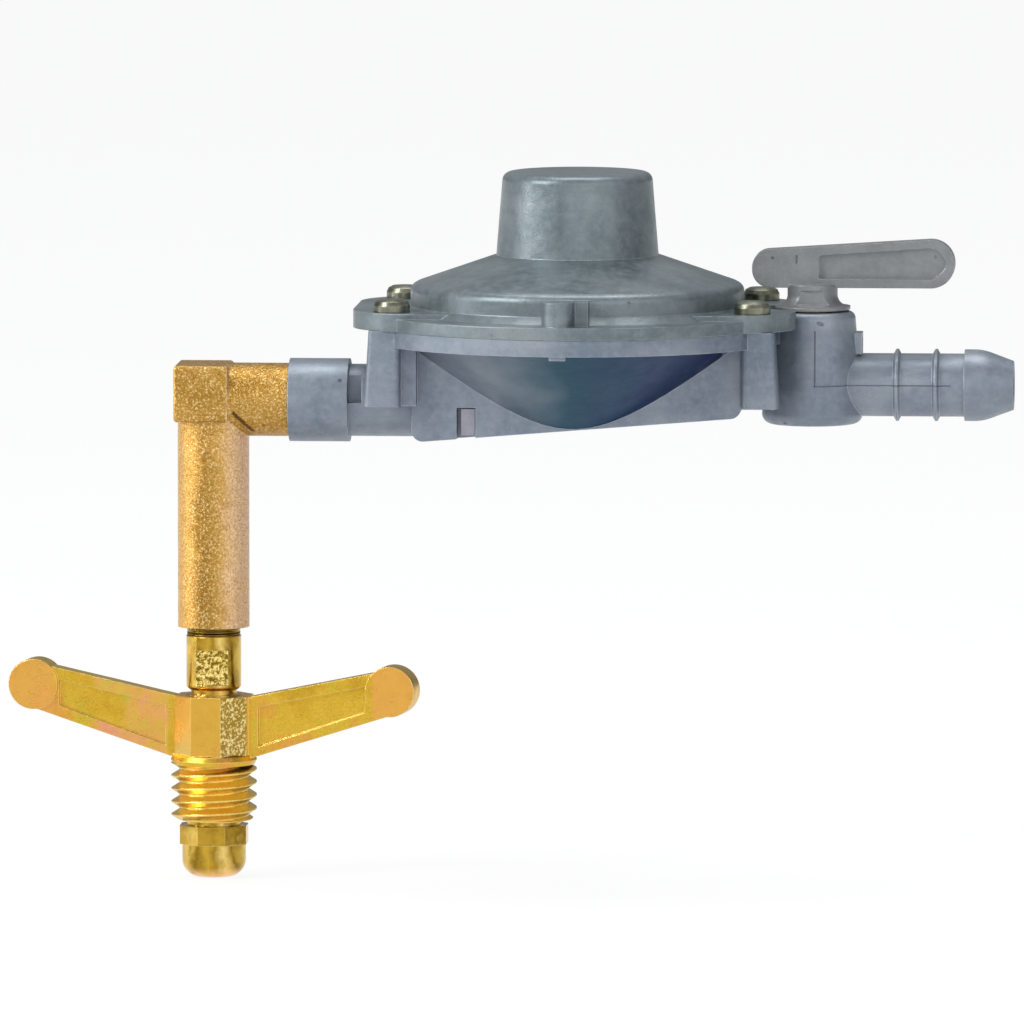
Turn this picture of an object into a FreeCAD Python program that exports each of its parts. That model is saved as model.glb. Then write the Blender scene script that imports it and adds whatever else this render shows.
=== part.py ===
import FreeCAD, Part
import math
import os
import re

import Sketcher
from FreeCAD import Placement, Rotation, Vector

# Low-pressure gas regulator with a wing-screw inlet, a shut-off cock and a hose tail.
#
# The origin lies on the axis of the wing screw, at the shoulder where its thread begins. +Z is
# up, +X points along the gas flow to the hose tail and +Y is the far side. Lengths are
# millimetres, angles degrees. Heights below are measured up from the origin.

SIZES = {
    # Main lines
    "flow_height": 66.0,
    "chamber_x": 65.7,
    "cock_x": 108.0,
    "run_clear": 0.05,
    "seat_clear": 0.05,
    # Inlet nipple
    "nipple_tip": 20.4,
    "nose_diameter": 11.5,
    "nose_round": 3.1,
    "ring_low": 14.4,
    "ring_high": 11.0,
    "ring_across": 12.0,
    "shank_diameter": 9.9,
    "groove_diameter": 8.4,
    "groove_low": 12.7,
    "collar_low": 13.6,
    "collar_high": 23.3,
    "collar_edge": 0.5,
    "flat_across": 8.0,
    "flat_low": 14.6,
    "flat_high": 20.9,
    "spigot_diameter": 9.6,
    "spigot_reach": 8.0,
    "nipple_bore": 4.0,
    # Wing screw
    "screw_diameter": 15.5,
    "screw_length": 10.1,
    "screw_edge": 0.5,
    "hub_height": 12.5,
    "hub_across": 13.4,
    "hub_foot_diameter": 15.6,
    "hub_foot_height": 1.7,
    "hub_foot_edge": 0.4,
    "wing_reach": 33.0,
    "wing_root_low": 0.6,
    "wing_root_high": 12.3,
    "wing_tip_low": 9.5,
    "wing_tip_high": 17.8,
    "wing_thick": 3.6,
    "wing_border": 2.1,
    "wing_panel_depth": 0.8,
    "wing_panel_start": 8.6,
    "wing_panel_end": 28.3,
    "disc_height": 13.9,
    "disc_diameter": 9.1,
    "disc_thick": 5.0,
    "wing_turn": 8.5,
    # Elbow arm
    "arm_foot": 24.9,
    "arm_diameter": 12.9,
    "leg_diameter": 13.2,
    "arm_bore": 6.0,
    "leg_end": 13.9,
    "leg_spigot_diameter": 10.0,
    "leg_spigot_length": 9.6,
    "block_back": 6.7,
    "block_front": 3.2,
    "block_width": 13.6,
    "block_high": 6.5,
    "block_low": 3.7,
    "block_edge": 0.6,
    # Lower housing
    "neck_diameter": 15.0,
    "neck_length": 10.8,
    "pipe_diameter": 13.0,
    "pocket_depth": 3.2,
    "pocket_length": 2.5,
    "slab_left": 28.9,
    "slab_right": 30.2,
    "slab_thick": 28.0,
    "slab_drop_left": 6.4,
    "slab_drop_right": 1.7,
    "slab_round": 2.0,
    "bowl_diameter": 64.6,
    "bowl_slope": 0.81,
    "bowl_wall": 3.5,
    "chamber_in": 4.1,
    "rim_wall": 4.5,
    "rim_height": 3.0,
    "seat_diameter": 65.0,
    "pillar_over": 1.7,
    "pillar_length": 5.7,
    "pillar_draft": 0.8,
    "pillar_half": 3.7,
    "pillar_edge": 1.0,
    "web_thick": 3.0,
    "gate_width": 2.9,
    "gate_depth": 0.8,
    "gate_height": 0.7,
    "lever_slot_start": 41.5,
    "lever_slot_end": 60.0,
    "lever_slot_width": 10.0,
    "lever_well_depth": 1.9,
    "lever_step_x": 49.4,
    "lever_slot_depth": 0.1,
    "notch_width": 3.4,
    "notch_depth": 2.4,
    "notch_rise": 2.6,
    "fill_depth": 3.0,
    "link_width": 13.0,
    # Cock body and hose tail
    "cock_foot_diameter": 18.4,
    "cock_top_diameter": 15.3,
    "cock_round": 1.8,
    "cock_edge": 1.4,
    "cock_bore": 11.0,
    "cock_floor_thick": 2.3,
    "tab_out": 9.0,
    "tab_width": 4.4,
    "tab_under": 2.0,
    "tab_over": 1.9,
    "passage": 6.0,
    "tail_diameter": 11.35,
    "tail_bead": 0.65,
    "tail_bead_diameter": 13.0,
    "tail_bead_first": 15.3,
    "tail_bead_pitch": 7.0,
    "barb_start": 27.4,
    "barb_land": 3.3,
    "barb_diameter": 12.9,
    "tail_end": 36.2,
    "tail_end_diameter": 8.8,
    "barb_round": 9.0,
    # Cover
    "flange_thick": 2.2,
    "ear_thick": 3.2,
    "ear_over_x": 7.4,
    "ear_over_y": 5.5,
    "ear_round": 12.0,
    "cock_gap": 0.7,
    "skirt_in": 2.5,
    "skirt_foot": 1.3,
    "dome_in": 1.3,
    "tower_foot_diameter": 29.2,
    "tower_top_diameter": 26.8,
    "tower_round": 1.6,
    "cover_wall": 2.3,
    "vent_width": 5.9,
    "vent_in": 0.4,
    "vent_x": 64.4,
    "vent_hole": 1.6,
    "vent_pad": 2.4,
    # Cover screws
    "fix_in_x": 0.2,
    "fix_in_y": 17.0,
    "fix_head": 6.5,
    "fix_head_height": 2.3,
    "fix_head_round": 1.1,
    "fix_shank": 3.2,
    "fix_length": 10.0,
    "fix_hole": 3.5,
    "fix_boss": 4.4,
    # Jet, filter and rocker
    "jet_start": 35.0,
    "jet_thread": 7.0,
    "jet_head_across": 7.0,
    "jet_head_length": 1.8,
    "jet_bore": 2.2,
    "jet_lip": 3.4,
    "filter_length": 4.0,
    "filter_wall": 0.5,
    "pivot_x": 46.6,
    "pivot_drop": 2.7,
    "pivot_pin": 1.8,
    "pivot_reach": 7.0,
    "pivot_front": 12.9,
    "pin_head_sunk": 0.4,
    "pin_head_left": 0.9,
    "pin_head_right": 1.6,
    "pin_head_half": 2.4,
    "pad_face": 2.5,
    "pad_diameter": 4.4,
    "pad_thick": 1.3,
    "pad_cup": 5.8,
    "pad_cup_back": 1.0,
    "pad_sunk": 0.8,
    "rocker_hub": 3.5,
    "rocker_width": 8.6,
    "rocker_swing": 10.8,
    "arm_wide": 4.4,
    "arm_sheet": 1.4,
    "fork_width": 8.0,
    "fork_back": 6.5,
    "fork_front": 3.4,
    "fork_slot": 3.5,
    # Diaphragm stack
    "rubber": 0.8,
    "centre_drop": 1.8,
    "plate_in": 12.0,
    "plate_sheet": 1.0,
    "plate_lip": 2.0,
    "roll_start": 10.9,
    "roll_rise": 9.3,
    "roll_fall": 6.9,
    "roll_end": 4.9,
    "roll_turn": 0.1,
    "roll_top": 0.4,
    "stem_diameter": 5.0,
    "stem_flange": 14.0,
    "stem_flange_thick": 1.2,
    "stem_upper": 3.4,
    "stem_neck": 3.0,
    "stem_gap": 2.6,
    "stem_button": 6.0,
    "stem_button_thick": 1.5,
    "nut_across": 8.0,
    "nut_height": 2.8,
    "stem_over": 0.6,
    # Main spring and its seat
    "spring_wire": 1.6,
    "spring_diameter": 17.0,
    "spring_turns": 5.5,
    "spring_seat_side": 0.4,
    "spring_seat_thick": 1.0,
    "spring_seat_boss": 14.6,
    "spring_seat_boss_height": 1.4,
    # Cock plug and handle
    "plug_float": 0.3,
    "plug_port": 5.6,
    "seal_section": 1.7,
    "seal_groove": 2.0,
    "seal_low_drop": 8.6,
    "seal_high_drop": 2.2,
    "stop_drop": 5.7,
    "stop_pin": 2.0,
    "stop_groove_depth": 1.5,
    "stop_swing": 90.0,
    "square_side": 5.0,
    "handle_gap": 0.3,
    "skirt_thick": 0.6,
    "handle_skirt": 13.6,
    "handle_neck": 9.0,
    "handle_flare": 2.0,
    "neck_flat": 4.0,
    "neck_flat_width": 6.0,
    "paddle_left": 10.8,
    "paddle_right": 25.6,
    "paddle_thick": 3.6,
    "paddle_left_round": 3.2,
    "paddle_right_round": 4.3,
    "paddle_panel_start": 1.2,
    "paddle_border": 1.6,
    "paddle_panel_depth": 0.8,
    "paddle_panel_corner": 2.0,
}

# Levels of the housing, cover, cock and handle above the axis of the inlet neck.
ABOVE_FLOW = {
    "joint_height": 14.0,
    "outlet_height": 3.3,
    "bowl_foot": -4.1,
    "bowl_floor": -1.2,
    "pillar_low": 0.4,
    "link_low": -0.8,
    "link_high": 10.0,
    "cock_foot": -3.7,
    "cock_top": 16.6,
    "skirt_top": 20.9,
    "dome_start": 21.6,
    "tower_foot": 26.5,
    "tower_top": 41.4,
    "vent_top": 20.6,
    "square_top": 19.8,
    "neck_flat_low": 17.9,
    "neck_flat_high": 20.4,
    "paddle_low": 20.8,
    "paddle_left_top": 27.5,
    "paddle_right_top": 29.8,
}

doc = FreeCAD.newDocument("Regulator")
sheet = doc.addObject("Spreadsheet::Sheet", "Sizes")
for row, (alias, number) in enumerate((SIZES | ABOVE_FLOW).items(), start=1):
    sheet.set(f"A{row}", alias)
    sheet.set(f"B{row}", str(number))
    sheet.setAlias(f"B{row}", alias)
doc.recompute()

# How a shape that is drawn standing up, along Z, is laid along another axis.
LAID = {
    "X": Rotation(Vector(0, 1, 0), 90),
    "Y": Rotation(Vector(1, 0, 0), -90),
    "Z": Rotation(),
}
XZ_UPRIGHT = Rotation(Vector(1, 0, 0), 90)

# Heights and lengths that several pieces share, as formulas of the sizes.
SKIRT_RADIUS = "(seat_diameter / 2 - skirt_in)"
DOME_RADIUS = "(seat_diameter / 2 - skirt_in - dome_in)"
VENT_OUT = "(seat_diameter / 2 + rim_wall - vent_in)"
COCK_FLOOR = "(cock_foot + cock_floor_thick)"
STOP_HEIGHT = "(cock_top - stop_drop)"
PIVOT_HEIGHT = "(flow_height - pivot_drop)"
SLAB_LOW_LEFT = "(flow_height - slab_drop_left)"
SLAB_LOW_RIGHT = "(flow_height - slab_drop_right)"
RIM_RADIUS = "(seat_diameter / 2 + rim_wall)"
FIX_X = "(seat_diameter / 2 - fix_in_x)"
FIX_Y = "(seat_diameter / 2 - fix_in_y)"
PLATE_LOW = "(joint_height - centre_drop)"
RUBBER_LOW = "(joint_height - centre_drop - rubber)"
NECK_TOP = "(joint_height - centre_drop - rubber - stem_flange_thick - stem_upper)"
NECK_LOW = "(joint_height - centre_drop - rubber - stem_flange_thick - stem_upper - stem_gap)"
EAR_TOP = "(joint_height + ear_thick)"


def formula(text):
    """Puts the sheet's name before each size that the text names."""
    def named(word):
        name = word[0]
        if name in ABOVE_FLOW:
            return f"(Sizes.flow_height + Sizes.{name})"
        return f"Sizes.{name}" if name in SIZES else name
    return re.sub(r"[a-z][a-z_]+", named, text)


def level(name):
    """Height of a level above the origin."""
    return SIZES["flow_height"] + ABOVE_FLOW[name]


def bind(item, **formulas):
    """Binds properties of an object to formulas of the sizes."""
    for name, text in formulas.items():
        item.setExpression(name, formula(text))


def place(item, at):
    """Binds the position of an object to three formulas."""
    for axis, text in zip("xyz", at):
        item.setExpression(f"Placement.Base.{axis}", formula(text))


def box(name, corner, size):
    item = doc.addObject("Part::Box", name)
    bind(item, Length=size[0], Width=size[1], Height=size[2])
    place(item, corner)
    return item


def cylinder(name, radius, length, at, axis="Z"):
    item = doc.addObject("Part::Cylinder", name)
    item.Placement.Rotation = LAID[axis]
    bind(item, Radius=radius, Height=length)
    place(item, at)
    return item


def cone(name, low_radius, high_radius, height, at):
    item = doc.addObject("Part::Cone", name)
    bind(item, Radius1=low_radius, Radius2=high_radius, Height=height)
    place(item, at)
    return item


def outline(sketch, corners):
    """Draws a closed outline through corners that are each held by two formulas."""
    count = len(corners)
    spread = [Vector(math.cos(2 * math.pi * i / count), math.sin(2 * math.pi * i / count), 0)
              for i in range(count)]
    first = sketch.GeometryCount
    for i in range(count):
        sketch.addGeometry(Part.LineSegment(spread[i] * 20, spread[(i + 1) % count] * 20))
    for i in range(count):
        following = first + (i + 1) % count
        sketch.addConstraint(Sketcher.Constraint("Coincident", first + i, 2, following, 1))
    for i, corner in enumerate(corners):
        for kind, text, start in zip(("DistanceX", "DistanceY"), corner, spread[i] * 20):
            rule = sketch.addConstraint(Sketcher.Constraint(kind, -1, 1, first + i, 1, start))
            sketch.setExpression(f"Constraints[{rule}]", formula(text))


def ring(sketch, radius, at=("0", "0")):
    """Draws a circle whose radius and centre are formulas."""
    index = sketch.addGeometry(Part.Circle(Vector(1, 1, 0), Vector(0, 0, 1), 5))
    rule = sketch.addConstraint(Sketcher.Constraint("Radius", index, 5))
    sketch.setExpression(f"Constraints[{rule}]", formula(radius))
    for kind, text in zip(("DistanceX", "DistanceY"), at):
        rule = sketch.addConstraint(Sketcher.Constraint(kind, -1, 1, index, 3, 1))
        sketch.setExpression(f"Constraints[{rule}]", formula(text))


def octagon(across):
    """Corners of a regular octagon with flats square to X and Y."""
    reach = f"({across}) / 2 / cos(22.5 deg)"
    turns = [22.5 + 45 * i for i in range(8)]
    return [(f"{reach} * cos({turn} deg)", f"{reach} * sin({turn} deg)") for turn in turns]


def hexagon(across):
    """Corners of a regular hexagon with two flats square to Y."""
    reach = f"({across}) / 2 / cos(30 deg)"
    turns = [60 * i for i in range(6)]
    return [(f"{reach} * cos({turn} deg)", f"{reach} * sin({turn} deg)") for turn in turns]


def turned(name, corners, at, axis="Z"):
    """A solid turned about an upright axis, from corners of radius and height."""
    sketch = doc.addObject("Sketcher::SketchObject", name + "_profile")
    sketch.Placement.Rotation = XZ_UPRIGHT
    outline(sketch, corners)
    item = doc.addObject("Part::Revolution", name)
    item.Source = sketch
    item.Axis = Vector(0, 0, 1)
    item.Base = Vector(0, 0, 0)
    item.Angle = 360
    item.Solid = True
    item.Placement.Rotation = LAID[axis]
    place(item, at)
    return item


def plate(name, corners, thick, middle):
    """A plate cut from an outline in the XZ plane, half its thickness on each side of middle."""
    sketch = doc.addObject("Sketcher::SketchObject", name + "_outline")
    sketch.Placement.Rotation = XZ_UPRIGHT
    outline(sketch, corners)
    item = doc.addObject("Part::Extrusion", name)
    item.Base = sketch
    item.DirMode = "Custom"
    item.Dir = Vector(0, -1, 0)
    item.Solid = True
    item.Symmetric = True
    bind(item, LengthFwd=thick)
    place(item, ("0", middle, "0"))
    return item


def prism(name, corners, height, at, axis="Z"):
    """An upright prism on an outline in the XY plane, laid along the axis named."""
    sketch = doc.addObject("Sketcher::SketchObject", name + "_outline")
    outline(sketch, corners)
    item = doc.addObject("Part::Extrusion", name)
    item.Base = sketch
    item.DirMode = "Custom"
    item.Dir = Vector(0, 0, 1)
    item.Solid = True
    bind(item, LengthFwd=height)
    item.Placement.Rotation = LAID[axis]
    place(item, at)
    return item


def fuse(name, items):
    item = doc.addObject("Part::MultiFuse", name)
    item.Shapes = items
    item.Refine = True
    return item


def cut(name, base, tools):
    item = doc.addObject("Part::Cut", name)
    item.Base = base
    item.Tool = tools[0] if len(tools) == 1 else fuse(name + "_tools", tools)
    item.Refine = True
    return item


def edges_where(shape, test):
    """Numbers of the edges that pass the test."""
    return [i for i, edge in enumerate(shape.Edges, start=1) if test(edge)]


def rounded(name, base, test, radius):
    """Rounds the edges of a solid that pass the test."""
    doc.recompute()
    item = doc.addObject("Part::Fillet", name)
    item.Base = base
    item.Edges = [(number, radius, radius) for number in edges_where(base.Shape, test)]
    return item


def circle_at(radius, height=None, x=None):
    """A test for whole circles of one radius, at one height or at one x."""
    def test(edge):
        if not isinstance(edge.Curve, Part.Circle) or abs(edge.Curve.Radius - radius) > 0.01:
            return False
        centre = edge.Curve.Center
        level = height is None or abs(centre.z - height) < 0.01
        return level and (x is None or abs(centre.x - x) < 0.01)
    return test


def runs_along(axis, x=None, z=None):
    """A test for straight edges along an axis, at one x and one height."""
    def test(edge):
        if not isinstance(edge.Curve, Part.Line):
            return False
        middle = edge.CenterOfMass
        along = abs(abs(edge.tangentAt(edge.FirstParameter).dot(axis)) - 1) < 1e-6
        beside = x is None or abs(middle.x - x) < 0.01
        return along and beside and (z is None or abs(middle.z - z) < 0.01)
    return test


def new_body(name):
    return doc.addObject("PartDesign::Body", name)


def body_sketch(body, name, plane, lift="0"):
    """An empty sketch on an origin plane of the body, lifted along the plane's normal."""
    sketch = body.newObject("Sketcher::SketchObject", name)
    support = [item for item in body.Origin.OriginFeatures if item.Role == plane]
    sketch.AttachmentSupport = [(support[0], "")]
    sketch.MapMode = "FlatFace"
    sketch.setExpression("AttachmentOffset.Base.z", formula(lift))
    return sketch


def feature(body, kind, name, sketch, **values):
    """A sketch-based feature of a body, which must change the body's volume."""
    before = body.Shape.Volume if body.Tip else 0
    item = body.newObject("PartDesign::" + kind, name)
    item.Profile = sketch
    for key, value in values.items():
        if isinstance(value, str) and key not in ("Type",):
            bind(item, **{key: value})
        else:
            setattr(item, key, value)
    doc.recompute()
    if abs(item.Shape.Volume - before) < 1e-6:
        raise ValueError(f"{name} changes nothing")
    return item


def revolve_in(body, name, corners):
    """Turns an outline of radius and height about the body's upright axis."""
    sketch = body_sketch(body, name + "_profile", "XZ_Plane")
    outline(sketch, corners)
    return feature(body, "Revolution", name, sketch, ReferenceAxis=(sketch, ["V_Axis"]), Angle=360.0)


def dress(body, kind, name, test, **size):
    """A fillet or chamfer on the edges of the body's newest feature that pass the test."""
    base = body.Tip
    item = body.newObject("PartDesign::" + kind, name)
    item.Base = (base, [f"Edge{number}" for number in edges_where(base.Shape, test)])
    bind(item, **size)
    doc.recompute()
    if "Invalid" in item.State or "Error" in item.State:
        raise ValueError(f"{name} failed: {item.getStatusString()}")
    return item


def make_inlet_nipple():
    body = new_body("inlet_nipple")
    revolve_in(body, "nipple_blank", [
        ("nipple_bore / 2", "-nipple_tip"),
        ("nose_diameter / 2", "-nipple_tip"),
        ("nose_diameter / 2", "-(ring_low + ring_high) / 2"),
        ("shank_diameter / 2", "-(ring_low + ring_high) / 2"),
        ("shank_diameter / 2", "groove_low"),
        ("groove_diameter / 2", "groove_low"),
        ("groove_diameter / 2", "collar_low"),
        ("shank_diameter / 2", "collar_low"),
        ("shank_diameter / 2", "collar_high"),
        ("spigot_diameter / 2", "collar_high"),
        ("spigot_diameter / 2", "arm_foot + spigot_reach"),
        ("nipple_bore / 2", "arm_foot + spigot_reach"),
    ])
    shank = SIZES["shank_diameter"] / 2
    dress(body, "Fillet", "nose_rounding",
          circle_at(SIZES["nose_diameter"] / 2, -SIZES["nipple_tip"]), Radius="nose_round")
    dress(body, "Chamfer", "collar_foot_edge", circle_at(shank, SIZES["collar_low"]), Size="collar_edge")
    ring_sketch = body_sketch(body, "ring_outline", "XY_Plane", "-ring_low")
    outline(ring_sketch, octagon("ring_across"))
    ring(ring_sketch, "nipple_bore / 2 + 0.5")
    feature(body, "Pad", "eight_sided_ring", ring_sketch, Length="ring_low - ring_high")
    flats = body_sketch(body, "flats_outline", "XY_Plane", "flat_low")
    for side in ("", "-"):
        outline(flats, [
            ("-shank_diameter", f"{side}flat_across / 2"),
            ("shank_diameter", f"{side}flat_across / 2"),
            ("shank_diameter", f"{side}shank_diameter"),
            ("-shank_diameter", f"{side}shank_diameter"),
        ])
    feature(body, "Pocket", "wrench_flats", flats, Length="flat_high - flat_low", Reversed=True)
    return body


def wing_line(start_height, end_height, along, shift):
    """Height of a wing's edge at one reach, moved up or down by shift."""
    slope = f"(({end_height}) - ({start_height})) / (wing_reach - hub_across / 2)"
    return f"({start_height}) + ({along} - hub_across / 2) * {slope} + ({shift})"


def make_wing_screw():
    body = new_body("wing_screw")
    revolve_in(body, "screw_blank", [
        ("shank_diameter / 2 + run_clear", "-screw_length"),
        ("screw_diameter / 2 - screw_edge", "-screw_length"),
        ("screw_diameter / 2", "-screw_length + screw_edge"),
        ("screw_diameter / 2", "0"),
        ("screw_diameter / 2 - hub_foot_edge", "0"),
        ("hub_foot_diameter / 2", "hub_foot_height / 2"),
        ("screw_diameter / 2 - hub_foot_edge", "hub_foot_height"),
        ("shank_diameter / 2 + run_clear", "hub_foot_height + 1"),
    ])
    hub = body_sketch(body, "hub_outline", "XY_Plane")
    outline(hub, octagon("hub_across"))
    ring(hub, "shank_diameter / 2 + run_clear")
    feature(body, "Pad", "hub", hub, Length="hub_height")
    low = ("wing_root_low", "wing_tip_low")
    high = ("wing_root_high", "wing_tip_high")
    root = "(shank_diameter / 2 + 1.2)"
    for side, word in (("", "right"), ("-", "left")):
        blade = body_sketch(body, word + "_wing_outline", "XZ_Plane", "-wing_thick / 2")
        outline(blade, [
            (f"{side}{root}", wing_line(*low, root, "0.5")),
            (f"{side}wing_reach", wing_line(*low, "wing_reach", "0")),
            (f"{side}wing_reach", wing_line(*high, "wing_reach", "0")),
            (f"{side}{root}", wing_line(*high, root, "0")),
        ])
        feature(body, "Pad", word + "_wing", blade, Length="wing_thick")
        disc = body_sketch(body, word + "_disc_outline", "XZ_Plane", "-disc_thick / 2")
        ring(disc, "disc_diameter / 2", (f"{side}wing_reach", "disc_height"))
        feature(body, "Pad", word + "_disc", disc, Length="disc_thick")
        for face, lift in (("front", "wing_thick / 2 - wing_panel_depth"), ("back", "-wing_thick / 2")):
            panel = body_sketch(body, f"{word}_{face}_panel_outline", "XZ_Plane", lift)
            outline(panel, [
                (f"{side}wing_panel_start", wing_line(*low, "wing_panel_start", "wing_border")),
                (f"{side}wing_panel_end", wing_line(*low, "wing_panel_end", "wing_border")),
                (f"{side}wing_panel_end", wing_line(*high, "wing_panel_end", "-wing_border")),
                (f"{side}wing_panel_start", wing_line(*high, "wing_panel_start", "-wing_border")),
            ])
            feature(body, "Pocket", f"{word}_{face}_panel", panel, Length="wing_panel_depth",
                    Reversed=True)
    body.Placement = Placement(Vector(0, 0, 0), Rotation(Vector(0, 0, 1), -SIZES["wing_turn"]))
    return body


def make_elbow_arm():
    block = box("block_blank", ("-block_back", "-block_width / 2", "flow_height - block_low"),
                ("block_back + block_front", "block_width", "block_low + block_high"))
    block = rounded("corner_block", block, lambda edge: True, SIZES["block_edge"])
    solid = fuse("arm_blank", [
        cylinder("arm_tube", "arm_diameter / 2", "flow_height - arm_foot", ("0", "0", "arm_foot")),
        cylinder("arm_leg", "leg_diameter / 2", "leg_end", ("0", "0", "flow_height"), "X"),
        cylinder("arm_spigot", "leg_spigot_diameter / 2", "leg_end + leg_spigot_length",
                 ("0", "0", "flow_height"), "X"),
        block,
    ])
    return cut("elbow_arm", solid, [
        cylinder("arm_thread_bore", "spigot_diameter / 2 + seat_clear", "spigot_reach + seat_clear",
                 ("0", "0", "arm_foot")),
        cylinder("arm_rise_bore", "arm_bore / 2", "flow_height - arm_foot", ("0", "0", "arm_foot")),
        cylinder("arm_leg_bore", "arm_bore / 2", "leg_end + leg_spigot_length",
                 ("0", "0", "flow_height"), "X"),
    ])


def make_lower_housing():
    length = "(slab_left + slab_right)"
    slab_corners = [
        ("chamber_x - slab_left", SLAB_LOW_LEFT),
        ("chamber_x + slab_right", SLAB_LOW_RIGHT),
        ("chamber_x + slab_right", "joint_height - rim_height"),
        ("chamber_x - slab_left", "joint_height - rim_height"),
    ]
    slab = plate("slab_blank", slab_corners, "slab_thick", "0")

    def slab_foot(edge):
        across = runs_along(Vector(0, 1, 0))(edge)
        return across and edge.CenterOfMass.z < SIZES["flow_height"] - SIZES["slab_drop_right"] + 0.01

    slab = rounded("slab", slab, slab_foot, SIZES["slab_round"])
    rim_low = "(joint_height - rim_height)"
    bowl_low_radius = f"(bowl_diameter / 2 - ({rim_low} - bowl_foot) / bowl_slope)"
    bowl = cone("bowl_blank", bowl_low_radius, "bowl_diameter / 2", f"{rim_low} - bowl_foot",
                ("chamber_x", "0", "bowl_foot"))
    under_bowl = plate("under_bowl", [
        ("chamber_x - slab_left", SLAB_LOW_LEFT),
        ("chamber_x + slab_right", SLAB_LOW_RIGHT),
        ("chamber_x + slab_right", f"{SLAB_LOW_LEFT} - 5"),
        ("chamber_x - slab_left", f"{SLAB_LOW_LEFT} - 5"),
    ], "slab_thick * 2", "0")
    bowl = cut("bowl", bowl, [under_bowl])
    rim = cylinder("rim", RIM_RADIUS, "rim_height", ("chamber_x", "0", rim_low))
    gate = box("gate_nub", ("vent_x - gate_width / 2", f"gate_depth / 2 - {RIM_RADIUS}",
                            f"{rim_low} - gate_height"),
               ("gate_width", "gate_depth * 1.5", "gate_height + 1"))
    solids = [slab, bowl, rim, gate]
    pillar_inner = f"({FIX_X} - pillar_over)"
    pillar_near = f"({FIX_Y} - pillar_half)"
    for side, word in (("-", "inlet"), ("+", "outlet")):
        wall_x = f"chamber_x + {pillar_inner}" if side == "+" else f"chamber_x - {pillar_inner} - web_thick"
        solids.append(box(word + "_web", (wall_x, f"-{pillar_near}", "pillar_low"),
                          ("web_thick", f"2 * {pillar_near}", "joint_height - pillar_low")))
        for near, y in (("near", f"-{FIX_Y}"), ("far", FIX_Y)):
            blank = plate(f"{word}_{near}_pillar_blank", [
                (f"chamber_x {side} {pillar_inner}", "pillar_low"),
                (f"chamber_x {side} ({pillar_inner} + pillar_length + pillar_draft)", "pillar_low"),
                (f"chamber_x {side} ({pillar_inner} + pillar_length)", "joint_height"),
                (f"chamber_x {side} {pillar_inner}", "joint_height"),
            ], "2 * pillar_half", y)
            solids.append(rounded(f"{word}_{near}_pillar", blank, lambda edge: edge.BoundBox.ZLength > 10,
                                  SIZES["pillar_edge"]))
            solids.append(cylinder(f"{word}_{near}_screw_boss", "fix_boss / 2", "joint_height - pillar_low",
                                   (f"chamber_x {side} {FIX_X}", y, "pillar_low")))
    solids.append(box("inlet_fill", (f"chamber_x - {pillar_inner} - 1", "-slab_thick / 2 - fill_depth", "pillar_low"),
                      (f"{pillar_inner} + 2 - slab_left", "slab_thick + 2 * fill_depth",
                       f"{rim_low} - pillar_low + 1")))
    neck_end = "(leg_end + neck_length)"
    solids.append(cylinder("neck", "neck_diameter / 2", "neck_length", ("leg_end", "0", "flow_height"), "X"))
    solids.append(cylinder("inlet_pipe", "pipe_diameter / 2", f"chamber_x - slab_left + 1 - {neck_end} + 1",
                           (f"{neck_end} - 1", "0", "flow_height"), "X"))
    solids.append(box("slab_link", (f"chamber_x - {pillar_inner} - web_thick", "-link_width / 2", "pillar_low"),
                      (f"{length} / 4", "link_width", "joint_height - rim_height - pillar_low")))
    solids.append(box("cock_link", ("chamber_x + slab_right - 1", "-link_width / 2", "link_low"),
                      ("cock_x - chamber_x - slab_right - cock_bore / 2", "link_width",
                       "link_high - link_low")))
    cock_height = "(cock_top - cock_foot)"
    cock = cone("cock_blank", "cock_foot_diameter / 2", "cock_top_diameter / 2", cock_height,
                ("cock_x", "0", "cock_foot"))
    cock = rounded("cock_body", cock, circle_at(SIZES["cock_foot_diameter"] / 2, level("cock_foot")),
                   SIZES["cock_round"])
    cock = rounded("cock_shoulder", cock, circle_at(SIZES["cock_top_diameter"] / 2, level("cock_top")),
                   SIZES["cock_edge"])
    solids.append(cock)
    solids.append(box("pin_boss", ("cock_x + cock_bore / 2 + 1", "-tab_width / 2", f"{STOP_HEIGHT} - tab_under"),
                      ("tab_out - cock_bore / 2 - 1", "tab_width", "tab_under + tab_over")))
    tail = turned("tail_blank", [
        ("0", "cock_bore / 2 + 1"),
        ("tail_diameter / 2", "cock_bore / 2 + 1"),
        ("tail_diameter / 2", "barb_start"),
        ("barb_diameter / 2", "barb_start"),
        ("barb_diameter / 2", "barb_start + barb_land"),
        ("tail_end_diameter / 2", "tail_end"),
        ("0", "tail_end"),
    ], ("cock_x", "0", "outlet_height"), "X")
    shoulder = SIZES["cock_x"] + SIZES["barb_start"] + SIZES["barb_land"]
    solids.append(rounded("tail", tail, circle_at(SIZES["barb_diameter"] / 2, x=shoulder),
                          SIZES["barb_round"]))
    for number in range(2):
        solids.append(turned(f"tail_bead_{number + 1}", [
            ("tail_diameter / 2 - 0.5", "-tail_bead"),
            ("tail_diameter / 2", "-tail_bead"),
            ("tail_bead_diameter / 2", "-tail_bead / 3"),
            ("tail_bead_diameter / 2", "tail_bead / 3"),
            ("tail_diameter / 2", "tail_bead"),
            ("tail_diameter / 2 - 0.5", "tail_bead"),
        ], (f"cock_x + tail_bead_first + {number} * tail_bead_pitch", "0", "outlet_height"), "X"))
    outside = fuse("housing_outside", solids)

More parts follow.
